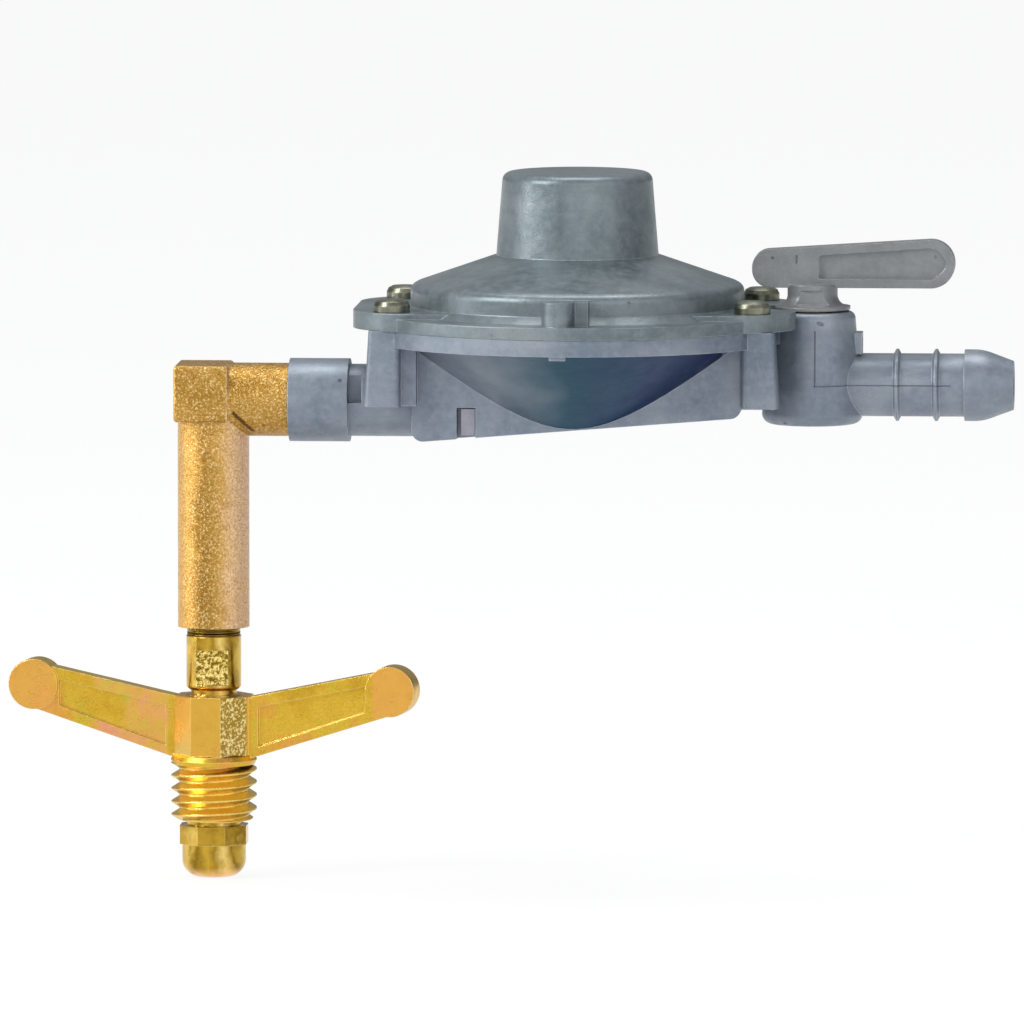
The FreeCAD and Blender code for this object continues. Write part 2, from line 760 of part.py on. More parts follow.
    inner_top = "(seat_diameter / 2 - chamber_in)"
    inner_foot = f"(bowl_diameter / 2 - bowl_wall - ({rim_low} - bowl_floor) / bowl_slope)"
    corner_height = f"({rim_low} - (bowl_diameter / 2 - bowl_wall - {inner_top}) * bowl_slope)"
    chamber = turned("chamber", [
        ("0", "bowl_floor"),
        (inner_foot, "bowl_floor"),
        (inner_top, corner_height),
        (inner_top, "joint_height - rubber"),
        ("seat_diameter / 2", "joint_height - rubber"),
        ("seat_diameter / 2", "joint_height + 1"),
        ("0", "joint_height + 1"),
    ], ("chamber_x", "0", "0"))
    notch_x = "pivot_x - notch_width / 2"
    tools = [
        chamber,
        box("lever_well", ("lever_slot_start", "-lever_slot_width / 2", f"{PIVOT_HEIGHT} - lever_well_depth"),
            ("lever_step_x - lever_slot_start", "lever_slot_width",
             f"joint_height - {PIVOT_HEIGHT} + lever_well_depth")),
        box("lever_slot", ("lever_slot_start", "-lever_slot_width / 2", f"{PIVOT_HEIGHT} - lever_slot_depth"),
            ("lever_slot_end - lever_slot_start", "lever_slot_width",
             f"joint_height - {PIVOT_HEIGHT} + lever_slot_depth")),
        box("pin_notch", (notch_x, "-slab_thick / 2 - 1", f"{SLAB_LOW_LEFT} - 1"),
            ("notch_width", "notch_depth + 1", f"{PIVOT_HEIGHT} + notch_rise - {SLAB_LOW_LEFT} + 1")),
        cylinder("pivot_hole", "pivot_pin / 2 + seat_clear", "slab_thick / 2 + pivot_reach + seat_clear",
                 ("pivot_x", "-slab_thick / 2", PIVOT_HEIGHT), "Y"),
        cylinder("arm_socket", "leg_spigot_diameter / 2 + seat_clear", "leg_spigot_length + 0.3",
                 ("leg_end - 0.1", "0", "flow_height"), "X"),
        cylinder("inlet_passage", "jet_thread / 2 + seat_clear", "lever_slot_start - leg_end",
                 ("leg_end", "0", "flow_height"), "X"),
        box("neck_pocket", (neck_end, "-neck_diameter / 2", "flow_height"),
            ("pocket_length", "pocket_depth", "neck_diameter / 2")),
        cylinder("outlet_passage", "passage / 2", "cock_x + tail_end - chamber_x",
                 ("chamber_x", "0", "outlet_height"), "X"),
        cylinder("plug_bore", "cock_bore / 2", f"cock_top - {COCK_FLOOR}", ("cock_x", "0", COCK_FLOOR)),
        cylinder("stop_hole", "stop_pin / 2 + seat_clear", "tab_out",
                 ("cock_x + cock_bore / 2 - 1", "0", STOP_HEIGHT), "X"),
    ]
    for number, (x, y) in enumerate(screw_places(), start=1):
        tools.append(cylinder(f"screw_hole_{number}", "fix_shank / 2 + seat_clear",
                              "fix_length - ear_thick + 0.5", (x, y, "joint_height - fix_length + ear_thick - 0.5")))
    return cut("lower_housing", outside, tools)


def screw_places():
    """Centres of the four cover screws."""
    return [(f"chamber_x {x} {FIX_X}", f"{y}{FIX_Y}") for x in ("-", "+") for y in ("-", "")]


def make_cover():
    reach = f"({FIX_X} + ear_over_x)"
    half = f"({FIX_Y} + ear_over_y)"
    ear = prism("ear_blank", [
        (f"-{reach}", f"-{half}"),
        (reach, f"-{half}"),
        (reach, half),
        (f"-{reach}", half),
    ], "ear_thick", ("chamber_x", "0", "joint_height"))
    ear = rounded("ears", ear, runs_along(Vector(0, 0, 1)), SIZES["ear_round"])
    flange = cylinder("cover_flange", f"{RIM_RADIUS} + 0.2", "flange_thick",
                      ("chamber_x", "0", "joint_height"))
    shell = turned("cover_shell", [
        ("0", "joint_height"),
        (f"{SKIRT_RADIUS} + skirt_foot", "joint_height"),
        (f"{SKIRT_RADIUS} + skirt_foot", "joint_height + flange_thick"),
        (SKIRT_RADIUS, "joint_height + flange_thick + skirt_foot"),
        (SKIRT_RADIUS, "skirt_top"),
        (DOME_RADIUS, "dome_start"),
        ("tower_foot_diameter / 2", "tower_foot"),
        ("tower_top_diameter / 2", "tower_top"),
        ("0", "tower_top"),
    ], ("chamber_x", "0", "0"))

    def tower_edge(edge):
        crown = circle_at(SIZES["tower_top_diameter"] / 2, level("tower_top"))(edge)
        return crown or circle_at(SIZES["seat_diameter"] / 2 - SIZES["skirt_in"], level("skirt_top"))(edge)

    shell = rounded("cover_bell", shell, tower_edge, SIZES["tower_round"])
    vent = cylinder("vent_boss", "vent_width / 2", "vent_top - joint_height",
                    ("vent_x", f"vent_width / 2 - {VENT_OUT}", "joint_height"))
    vent_back = box("vent_bridge", ("vent_x - vent_width / 2", f"vent_width / 2 - {VENT_OUT}", "joint_height"),
                    ("vent_width", f"{VENT_OUT} - vent_width / 2 - {SKIRT_RADIUS} + 1.5",
                     "vent_top - joint_height"))
    pad = box("vent_side_pad", ("vent_x + vent_width / 2", f"vent_width / 2 - {VENT_OUT}", "joint_height"),
              ("vent_pad", f"{VENT_OUT} - vent_width / 2 - {SKIRT_RADIUS} + 1.5", "vent_top - joint_height"))
    outside = fuse("cover_outside", [ear, flange, shell, vent, vent_back, pad])
    inner_shoulder = "(dome_start - cover_wall * 1.2)"
    hollow = turned("cover_hollow", [
        ("0", "joint_height - 1"),
        (f"{SKIRT_RADIUS} - cover_wall", "joint_height - 1"),
        (f"{SKIRT_RADIUS} - cover_wall", inner_shoulder),
        ("tower_foot_diameter / 2 - cover_wall", f"{inner_shoulder} + tower_foot - dome_start"),
        ("tower_top_diameter / 2 - cover_wall", "tower_top - cover_wall"),
        ("0", "tower_top - cover_wall"),
    ], ("chamber_x", "0", "0"))
    tools = [
        hollow,
        cylinder("cock_relief", "cock_top_diameter / 2 + cock_gap", "ear_thick + 1",
                 ("cock_x", "0", "joint_height - 0.5")),
        cylinder("vent_well", "vent_hole / 2", "vent_top - joint_height",
                 ("vent_x", f"vent_width / 2 - {VENT_OUT}", "joint_height + 2")),
        cylinder("vent_cross", "vent_hole / 2", "vent_width",
                 ("vent_x", f"vent_width / 2 - {VENT_OUT}", "joint_height + 3.2"), "Y"),
    ]
    for number, (x, y) in enumerate(screw_places(), start=1):
        tools.append(cylinder(f"ear_hole_{number}", "fix_hole / 2", "ear_thick + 2",
                              (x, y, "joint_height - 1")))
    return cut("cover", outside, tools)


def make_cover_screws():
    screws = []
    for number, (x, y) in enumerate(screw_places(), start=1):
        screws.append(turned(f"screw_{number}", [
            ("0", "-fix_length"),
            ("fix_shank / 2", "-fix_length"),
            ("fix_shank / 2", "0"),
            ("fix_head / 2", "0"),
            ("fix_head / 2", "fix_head_height - fix_head_round"),
            ("fix_head / 2 - fix_head_round / 3", "fix_head_height - fix_head_round / 3"),
            ("fix_head / 2 - fix_head_round", "fix_head_height"),
            ("0", "fix_head_height"),
        ], (x, y, EAR_TOP)))
    item = doc.addObject("Part::Compound", "cover_screws")
    item.Links = screws
    return item


def make_inlet_jet():
    seat = "(pivot_x - pad_face - seat_clear)"
    solid = fuse("jet_blank", [
        cylinder("jet_thread_part", "jet_thread / 2", "lever_slot_start - jet_start + 0.5",
                 ("jet_start", "0", "flow_height"), "X"),
        prism("jet_head", hexagon("jet_head_across"), "jet_head_length",
              ("lever_slot_start + seat_clear", "0", "flow_height"), "X"),
        cylinder("jet_lip_part", "jet_lip / 2", f"{seat} - lever_slot_start",
                 ("lever_slot_start", "0", "flow_height"), "X"),
    ])
    return cut("inlet_jet", solid, [
        cylinder("jet_bore_part", "jet_bore / 2", f"{seat} - jet_start", ("jet_start", "0", "flow_height"), "X"),
        cylinder("jet_mouth", "jet_thread / 2 - 1.5", "filter_length / 2", ("jet_start", "0", "flow_height"), "X"),
    ])


def make_inlet_filter():
    return turned("inlet_filter", [
        ("0", "0"),
        ("jet_thread / 2 - filter_wall", "0"),
        ("jet_thread / 2 - filter_wall", "filter_length - filter_wall"),
        ("jet_thread / 2", "filter_length - filter_wall"),
        ("jet_thread / 2", "filter_length"),
        ("jet_thread / 2 - 2 * filter_wall", "filter_length"),
        ("jet_thread / 2 - 2 * filter_wall", "filter_wall"),
        ("0", "filter_wall"),
    ], ("jet_start - filter_length - seat_clear", "0", "flow_height"), "X")


def at_pivot(item):
    """Turns a rocker piece, drawn closed about its pin, back to its open place at rest."""
    pivot = Vector(SIZES["pivot_x"], 0, SIZES["flow_height"] - SIZES["pivot_drop"])
    item.Placement = Placement(pivot, Rotation(Vector(0, 1, 0), SIZES["rocker_swing"]))
    return item


def make_rocker_lever():
    """Drawn with the valve closed: the pad's face is upright and the pin is at the origin."""
    swing = math.radians(SIZES["rocker_swing"])
    reach = SIZES["chamber_x"] - SIZES["pivot_x"]
    drop = SIZES["centre_drop"] + SIZES["rubber"] + SIZES["stem_flange_thick"] + SIZES["stem_upper"]
    pivot_height = SIZES["flow_height"] - SIZES["pivot_drop"]
    rise = level("joint_height") - drop - SIZES["stem_gap"] / 2 - pivot_height
    tip_x = reach * math.cos(swing) - rise * math.sin(swing)
    tip_z = rise * math.cos(swing) + reach * math.sin(swing)
    bend_x = tip_x - SIZES["fork_back"] * math.cos(swing / 2)
    bend_z = tip_z - SIZES["fork_back"] * math.sin(swing / 2)
    arm_length = math.hypot(bend_x, bend_z)
    arm_angle = math.degrees(math.atan2(bend_z, bend_x))

    arm = doc.addObject("Part::Box", "rocker_arm")
    bind(arm, Width="arm_wide", Height="arm_sheet")
    arm.Length = arm_length + SIZES["arm_sheet"] / 2
    turn = Rotation(Vector(0, 1, 0), -arm_angle)
    arm.Placement = Placement(turn.multVec(Vector(0, -SIZES["arm_wide"] / 2, -SIZES["arm_sheet"] / 2)), turn)

    turn = Rotation(Vector(0, 1, 0), -SIZES["rocker_swing"] / 2)
    bend = Vector(bend_x, 0, bend_z)
    fork = doc.addObject("Part::Box", "rocker_fork_blank")
    bind(fork, Length="fork_back + fork_front", Width="fork_width", Height="arm_sheet")
    fork.Placement = Placement(
        bend + turn.multVec(Vector(0, -SIZES["fork_width"] / 2, -SIZES["arm_sheet"] / 2)), turn)
    slot = doc.addObject("Part::Box", "rocker_fork_slot")
    bind(slot, Length="fork_back + fork_front", Width="fork_slot", Height="arm_sheet * 3")
    start = SIZES["fork_back"] - SIZES["fork_slot"] / 2 - 1
    slot.Placement = Placement(
        bend + turn.multVec(Vector(start, -SIZES["fork_slot"] / 2, -SIZES["arm_sheet"] * 1.5)), turn)
    forked = cut("rocker_fork", fork, [slot])

    solid = fuse("rocker_blank", [
        arm,
        forked,
        cylinder("rocker_hub_part", "rocker_hub / 2", "rocker_width", ("0", "-rocker_width / 2", "0"), "Y"),
        cylinder("pad_cup_part", "pad_cup / 2", "pad_face - pad_thick + pad_sunk + pad_cup_back",
                 ("-(pad_face - pad_thick + pad_sunk)", "0", "pivot_drop"), "X"),
    ])
    lever = cut("rocker_lever", solid, [
        cylinder("rocker_pin_bore", "pivot_pin / 2 + run_clear", "rocker_width + 2",
                 ("0", "-rocker_width / 2 - 1", "0"), "Y"),
        cylinder("pad_socket", "pad_diameter / 2 + seat_clear / 2", "pad_sunk + 1",
                 ("-(pad_face - pad_thick + pad_sunk) - 1", "0", "pivot_drop"), "X"),
    ])
    return at_pivot(lever)


def make_valve_pad():
    pad = doc.addObject("Part::Cylinder", "valve_pad_disc")
    pad.Placement.Rotation = LAID["X"]
    bind(pad, Radius="pad_diameter / 2", Height="pad_thick")
    place(pad, ("-pad_face", "0", "pivot_drop"))
    item = doc.addObject("Part::Compound", "valve_pad")
    item.Links = [pad]
    return at_pivot(item)


def make_rocker_pin():
    """A pin with an oblong head, which the notch in the slab keeps from turning."""
    back = "(slab_thick / 2 - notch_depth + seat_clear)"
    front = "(slab_thick / 2 - pin_head_sunk)"
    return fuse("rocker_pin", [
        cylinder("pin_shank", "pivot_pin / 2", "pivot_front + pivot_reach",
                 ("pivot_x", "-pivot_front", PIVOT_HEIGHT), "Y"),
        box("pin_head", ("pivot_x - pin_head_left", f"-{front}", f"{PIVOT_HEIGHT} - pin_head_half"),
            ("pin_head_left + pin_head_right", f"{front} - {back}", "2 * pin_head_half")),
    ])


def make_diaphragm():
    hole = "(stem_diameter / 2 + seat_clear)"
    seat_low = "(joint_height - rubber)"
    crest = "(joint_height + roll_top)"
    edge = "seat_diameter / 2"
    return turned("diaphragm", [
        (hole, RUBBER_LOW),
        (f"{edge} - roll_start", RUBBER_LOW),
        (f"{edge} - roll_rise", crest),
        (f"{edge} - roll_fall", crest),
        (f"{edge} - roll_end", seat_low),
        (f"{edge} - seat_clear", seat_low),
        (f"{edge} - seat_clear", "joint_height"),
        (f"{edge} - roll_end - roll_turn", "joint_height"),
        (f"{edge} - roll_fall - roll_turn", f"{crest} + rubber"),
        (f"{edge} - roll_rise - rubber / 2", f"{crest} + rubber"),
        (f"{edge} - roll_start - rubber", PLATE_LOW),
        (hole, PLATE_LOW),
    ], ("chamber_x", "0", "0"))


def make_diaphragm_plate():
    return turned("diaphragm_plate", [
        ("stem_diameter / 2 + seat_clear", PLATE_LOW),
        ("seat_diameter / 2 - plate_in", PLATE_LOW),
        ("seat_diameter / 2 - plate_in", f"{PLATE_LOW} + plate_lip"),
        ("seat_diameter / 2 - plate_in - plate_sheet", f"{PLATE_LOW} + plate_lip"),
        ("seat_diameter / 2 - plate_in - plate_sheet", f"{PLATE_LOW} + plate_sheet"),
        ("stem_diameter / 2 + seat_clear", f"{PLATE_LOW} + plate_sheet"),
    ], ("chamber_x", "0", "0"))


def make_diaphragm_stem():
    top = f"({PLATE_LOW} + plate_sheet + nut_height + stem_over)"
    flange_low = f"({RUBBER_LOW} - stem_flange_thick)"
    return turned("diaphragm_stem", [
        ("0", f"{NECK_LOW} - stem_button_thick"),
        ("stem_button / 2", f"{NECK_LOW} - stem_button_thick"),
        ("stem_button / 2", NECK_LOW),
        ("stem_neck / 2", NECK_LOW),
        ("stem_neck / 2", NECK_TOP),
        ("stem_diameter / 2", NECK_TOP),
        ("stem_diameter / 2", flange_low),
        ("stem_flange / 2", flange_low),
        ("stem_flange / 2", RUBBER_LOW),
        ("stem_diameter / 2", RUBBER_LOW),
        ("stem_diameter / 2", top),
        ("0", top),
    ], ("chamber_x", "0", "0"))


def make_stem_nut():
    low = f"({PLATE_LOW} + plate_sheet)"
    blank = prism("nut_blank", hexagon("nut_across"), "nut_height", ("chamber_x", "0", low))
    return cut("stem_nut", blank, [
        cylinder("nut_bore", "stem_diameter / 2 + seat_clear / 2", "nut_height + 2",
                 ("chamber_x", "0", f"{low} - 1")),
    ])


def helix_point(turn, radius, pitch):
    """A point of a helix about Z, and the helix's direction there, after so many turns."""
    angle = 2 * math.pi * turn
    point = Vector(radius * math.cos(angle), radius * math.sin(angle), pitch * turn)
    ahead = Vector(-radius * math.sin(angle), radius * math.cos(angle), pitch / (2 * math.pi))
    return point, ahead.normalize()


def arc_between(start, corner, end):
    """The arc from start to end that touches both legs of an even corner."""
    weight = (end - start).Length / 2 / (corner - start).Length
    middle = (start + corner * (2 * weight) + end) / (2 + 2 * weight)
    return Part.Arc(start, middle, end).toShape()


def helix_arcs(turns, radius, pitch, steps_per_turn):
    """A helix as pairs of arcs that meet in line."""
    edges = []
    count = round(turns * steps_per_turn)
    for i in range(count):
        start, ahead = helix_point(i * turns / count, radius, pitch)
        end, onward = helix_point((i + 1) * turns / count, radius, pitch)
        chord = end - start
        both = ahead + onward
        square = 4 - both.dot(both)
        half = chord.dot(both)
        leg = (math.sqrt(half * half + square * chord.dot(chord)) - half) / square
        first = start + ahead * leg
        second = end - onward * leg
        joint = (first + second) / 2
        edges += [arc_between(start, first, joint), arc_between(joint, second, end)]
    return edges


def make_main_spring():
    """A round wire wound as one helix between the diaphragm plate and the spring seat."""
    wire = SIZES["spring_wire"]
    low = level("joint_height") - SIZES["centre_drop"] + SIZES["plate_sheet"] + wire / 2 + SIZES["seat_clear"]
    seat = level("tower_top") - SIZES["cover_wall"] - SIZES["spring_seat_thick"]
    rise = seat - SIZES["seat_clear"] - wire / 2 - low
    radius = SIZES["spring_diameter"] / 2
    turns = SIZES["spring_turns"]
    line = Part.Wire(helix_arcs(turns, radius, rise / turns, 2))
    start, ahead = helix_point(0, radius, rise / turns)
    section = Part.Wire(Part.Circle(start, ahead, wire / 2).toShape())
    coil = line.makePipeShell([section], True, False)
    gap = rise / turns - wire
    print(f"main_spring: {gap:.2f} mm between turns, {line.Length:.0f} mm of wire")
    item = doc.addObject("Part::Feature", "main_spring")
    item.Shape = coil
    item.Placement = Placement(Vector(SIZES["chamber_x"], 0, low), Rotation())
    return item


def make_spring_seat():
    top = "(tower_top - cover_wall)"
    return turned("spring_seat", [
        ("0", f"{top} - spring_seat_thick - spring_seat_boss_height"),
        ("spring_seat_boss / 2", f"{top} - spring_seat_thick - spring_seat_boss_height"),
        ("spring_seat_boss / 2", f"{top} - spring_seat_thick"),
        ("tower_top_diameter / 2 - cover_wall - spring_seat_side", f"{top} - spring_seat_thick"),
        ("tower_top_diameter / 2 - cover_wall - spring_seat_side", top),
        ("0", top),
    ], ("chamber_x", "0", "0"))


def make_cock_plug():
    """Plain plug with a cross port, two ring grooves, a stop groove and a square on top."""
    body = new_body("cock_plug")
    barrel = "(cock_bore / 2 - run_clear)"
    root = f"({barrel} - seal_section - 0.1)"
    foot = f"({COCK_FLOOR} + plug_float)"
    corners = [("0", foot), (barrel, foot)]
    for middle in ("cock_top - seal_low_drop", "cock_top - seal_high_drop"):
        corners += [
            (barrel, f"{middle} - seal_groove / 2"),
            (root, f"{middle} - seal_groove / 2"),
            (root, f"{middle} + seal_groove / 2"),
            (barrel, f"{middle} + seal_groove / 2"),
        ]
    corners += [(barrel, "cock_top"), ("0", "cock_top")]
    revolve_in(body, "plug_blank", corners)
    square = body_sketch(body, "square_outline", "XY_Plane", "cock_top")
    half = "square_side / 2"
    outline(square, [(f"-{half}", f"-{half}"), (half, f"-{half}"), (half, half), (f"-{half}", half)])
    feature(body, "Pad", "square", square, Length="square_top - cock_top")
    port = body_sketch(body, "port_outline", "YZ_Plane")
    ring(port, "plug_port / 2", ("0", "outlet_height"))
    feature(body, "Pocket", "port", port, Length="cock_bore * 2", Midplane=True)
    return body


def make_stop_groove():
    """The arc that the stop pin runs in, as a turned sector round the plug's axis."""
    reach = SIZES["cock_bore"] / 2
    depth = SIZES["stop_groove_depth"]
    height = SIZES["stop_pin"] + 4 * SIZES["seat_clear"]
    low = level("cock_top") - SIZES["stop_drop"] - height / 2
    spare = math.degrees(math.asin((SIZES["stop_pin"] / 2 + SIZES["seat_clear"]) / (reach - depth)))
    ring_solid = Part.makeCylinder(reach + 1, height, Vector(0, 0, low), Vector(0, 0, 1),
                                   SIZES["stop_swing"] + 2 * spare)
    core = Part.makeCylinder(reach - depth, height, Vector(0, 0, low))
    item = doc.addObject("Part::Feature", "stop_groove")
    item.Shape = ring_solid.cut(core)
    turn = Rotation(Vector(0, 0, 1), -SIZES["stop_swing"] - spare)
    item.Placement = Placement(Vector(0, 0, 0), turn)
    return item


def make_grooved_plug():
    item = cut("cock_plug_finished", make_cock_plug(), [make_stop_groove()])
    place(item, ("cock_x", "0", "0"))
    item.Label = "cock_plug_turned"
    return item


def make_plug_seal_rings():
    rings = []
    middle = "(cock_bore / 2 - run_clear - seal_section / 2)"
    for word, height in (("low", "cock_top - seal_low_drop"), ("high", "cock_top - seal_high_drop")):
        rings.append(turned(f"seal_{word}_ring", [
            (f"{middle} + seal_section / 2 * cos({turn} deg)", f"seal_section / 2 * sin({turn} deg)")
            for turn in range(0, 360, 45)
        ], ("cock_x", "0", height)))
    item = doc.addObject("Part::Compound", "plug_seal_rings")
    item.Links = rings
    return item


def make_plug_stop_pin():
    start = "(cock_bore / 2 - stop_groove_depth + 0.3)"
    return cylinder("plug_stop_pin", "stop_pin / 2", f"tab_out - {start} - 0.2",
                    (f"cock_x + {start}", "0", STOP_HEIGHT), "X")


def make_cock_handle():
    body = new_body("cock_handle")
    low = "(cock_top + handle_gap)"
    revolve_in(body, "handle_neck_blank", [
        ("0", low),
        ("handle_skirt / 2", low),
        ("handle_skirt / 2", f"{low} + skirt_thick"),
        ("handle_neck / 2", f"{low} + skirt_thick"),
        ("handle_neck / 2", "paddle_low + 0.6"),
        ("0", "paddle_low + 0.6"),
    ])
    joint = level("cock_top") + SIZES["handle_gap"] + SIZES["skirt_thick"]
    dress(body, "Fillet", "neck_flare", circle_at(SIZES["handle_neck"] / 2, joint), Radius="handle_flare")
    paddle = body_sketch(body, "paddle_outline", "XZ_Plane", "-paddle_thick / 2")
    outline(paddle, [
        ("-paddle_left", "paddle_low"),
        ("paddle_right", "paddle_low"),
        ("paddle_right", "paddle_right_top"),
        ("-paddle_left", "paddle_left_top"),
    ])
    feature(body, "Pad", "paddle", paddle, Length="paddle_thick")
    across = Vector(0, 1, 0)
    dress(body, "Fillet", "paddle_left_end", runs_along(across, x=-SIZES["paddle_left"]),
          Radius="paddle_left_round")
    dress(body, "Fillet", "paddle_right_end", runs_along(across, x=SIZES["paddle_right"]),
          Radius="paddle_right_round")
    slope = "((paddle_right_top - paddle_left_top) / (paddle_left + paddle_right))"
    end = "(paddle_right - paddle_border)"
    top_start = f"(paddle_left_top + (paddle_left + paddle_panel_start) * {slope} - paddle_border)"
    top_end = f"(paddle_left_top + (paddle_left + {end}) * {slope} - paddle_border)"
    for face, lift in (("front", "paddle_thick / 2 - paddle_panel_depth"), ("back", "-paddle_thick / 2")):
        panel = body_sketch(body, face + "_handle_panel_outline", "XZ_Plane", lift)
        outline(panel, [
            ("paddle_panel_start", "paddle_low + paddle_border"),
            (f"{end} - paddle_panel_corner", "paddle_low + paddle_border"),
            (end, "paddle_low + paddle_border + paddle_panel_corner"),
            (end, f"{top_end} - paddle_panel_corner"),
            (f"{end} - paddle_panel_corner", top_end),
            ("paddle_panel_start", top_start),
        ])
        feature(body, "Pocket", face + "_handle_panel", panel, Length="paddle_panel_depth", Reversed=True)
    flat = body_sketch(body, "neck_flat_outline", "XZ_Plane", "neck_flat")
    outline(flat, [
        ("-neck_flat_width / 2", "neck_flat_low"),
        ("neck_flat_width / 2", "neck_flat_low"),
        ("neck_flat_width / 2", "neck_flat_high"),
        ("-neck_flat_width / 2", "neck_flat_high"),
    ])
    feature(body, "Pocket", "neck_window", flat, Length="handle_neck", Reversed=True)
    socket = body_sketch(body, "socket_outline", "XY_Plane", low)
    half = "(square_side / 2 + seat_clear)"
    outline(socket, [(f"-{half}", f"-{half}"), (half, f"-{half}"), (half, half), (f"-{half}", half)])
    feature(body, "Pocket", "square_socket", socket, Length=f"square_top + 0.2 - {low}", Reversed=True)
    place(body, ("cock_x", "0", "0"))
    return body


def check_all():
    """Stops the script where an object failed to build."""
    doc.recompute()
    for item in doc.Objects:
        if "Invalid" in item.State or "Error" in item.State:
            raise ValueError(f"{item.Name} failed: {item.State}")


def export(parts):
    os.makedirs("parts", exist_ok=True)
    for label, item in parts.items():
        shape = item.Shape
        if shape.isNull() or not shape.isValid() or not shape.Solids:
            raise ValueError(f"{label} has no valid solid")
        item.Label = label
        shape.exportStep(f"parts/{label}.step")
        print(f"{label}: {len(shape.Solids)} solid(s), {shape.Volume:.1f} mm3")


PARTS = {
    "inlet_nipple": make_inlet_nipple(),
    "wing_screw": make_wing_screw(),
    "elbow_arm": make_elbow_arm(),
    "lower_housing": make_lower_housing(),
    "cover": make_cover(),
    "cover_screws": make_cover_screws(),
    "inlet_jet": make_inlet_jet(),
    "inlet_filter": make_inlet_filter(),
    "rocker_lever": make_rocker_lever(),
    "valve_pad": make_valve_pad(),
    "rocker_pin": make_rocker_pin(),
    "diaphragm": make_diaphragm(),
    "diaphragm_plate": make_diaphragm_plate(),
    "diaphragm_stem": make_diaphragm_stem(),
    "stem_nut": make_stem_nut(),
    "main_spring": make_main_spring(),
    "spring_seat": make_spring_seat(),
    "cock_plug": make_grooved_plug(),
    "plug_seal_rings": make_plug_seal_rings(),
    "plug_stop_pin": make_plug_stop_pin(),
    "cock_handle": make_cock_handle(),
}

check_all()
export(PARTS)
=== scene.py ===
import math

import bmesh
import bpy
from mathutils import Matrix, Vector


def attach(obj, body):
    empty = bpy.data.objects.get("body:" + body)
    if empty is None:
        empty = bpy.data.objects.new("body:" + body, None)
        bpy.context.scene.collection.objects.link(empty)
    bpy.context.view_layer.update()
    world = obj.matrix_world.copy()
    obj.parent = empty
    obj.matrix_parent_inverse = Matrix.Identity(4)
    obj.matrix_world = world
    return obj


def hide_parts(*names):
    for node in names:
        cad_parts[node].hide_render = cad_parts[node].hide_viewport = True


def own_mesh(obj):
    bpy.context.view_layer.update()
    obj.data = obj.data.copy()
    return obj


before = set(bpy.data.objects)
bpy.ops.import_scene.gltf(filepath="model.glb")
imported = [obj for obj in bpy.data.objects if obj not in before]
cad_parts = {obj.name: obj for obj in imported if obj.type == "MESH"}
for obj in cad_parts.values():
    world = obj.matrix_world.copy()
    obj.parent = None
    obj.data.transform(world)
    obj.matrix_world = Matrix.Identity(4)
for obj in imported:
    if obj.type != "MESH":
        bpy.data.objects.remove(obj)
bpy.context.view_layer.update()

# The floor's height, and the axis that bowl, dome, tower and diaphragm share.
FLOOR = -0.0206
SEAT_X = 0.0644


def put(name, data):
    obj = bpy.data.objects.new(name, data)
    bpy.context.collection.objects.link(obj)
    return obj


# ---------------------------------------------------------------- camera
VIEW_AZIMUTH = math.radians(3.9)
VIEW_ELEVATION = math.radians(5.4)
VIEW_TARGET = Vector((0.0539, 0.0, 0.0459))
VIEW_DISTANCE = 3.0
VIEW_WIDTH = 0.1843
SENSOR = 36.0


def make_camera():
    away = Vector((math.sin(VIEW_AZIMUTH) * math.cos(VIEW_ELEVATION),
                   -math.cos(VIEW_AZIMUTH) * math.cos(VIEW_ELEVATION),
                   math.sin(VIEW_ELEVATION)))
    data = bpy.data.cameras.new("camera")
    data.sensor_width = SENSOR
    data.lens = SENSOR * VIEW_DISTANCE / VIEW_WIDTH
    data.clip_start = 0.01
    data.clip_end = 50
    camera = put("camera", data)
    camera.location = VIEW_TARGET + away * VIEW_DISTANCE
    camera.rotation_euler = away.to_track_quat("Z", "Y").to_euler()
    bpy.context.scene.camera = camera


# ---------------------------------------------------------------- stage
SKY_LOW = (0.30, 0.31, 0.32, 1)
SKY_HIGH = (0.72, 0.74, 0.76, 1)
SKY_HIGH_AT = 0.9
SKY_STRENGTH = 0.75

FLOOR_REACH = 12.0
FLOOR_COLOUR = (0.90, 0.91, 0.92, 1)
FLOOR_ROUGHNESS = 0.9
FLOOR_GLOW = 0.90

LAMP_AIM = Vector((0.06, 0, 0.06))
# Each lamp: name, place, width and height in metres, power in watts.
LAMPS = (
    ("key", (-0.95, -0.70, 0.75), (0.5, 0.7), 15.0),
    ("fill", (1.0, -0.8, 0.45), (0.9, 0.9), 3.0),
    ("front", (0.25, -1.5, 0.45), (1.3, 0.9), 4.5),
    ("strip", (-1.25, -0.28, 0.12), (0.10, 0.7), 3.6),
    ("top", (0.05, 0.15, 1.2), (0.9, 0.5), 7.0),
)


def seen_directly(tree):
    """1 for rays that come straight from the camera or off a glossy or clear surface."""
    path = tree.nodes.new("ShaderNodeLightPath")
    total = path.outputs["Is Camera Ray"]
    for name in ("Is Glossy Ray", "Is Transmission Ray"):
        add = tree.nodes.new("ShaderNodeMath")
        add.operation = "MAXIMUM"
        tree.links.new(total, add.inputs[0])
        tree.links.new(path.outputs[name], add.inputs[1])
        total = add.outputs[0]
    return total


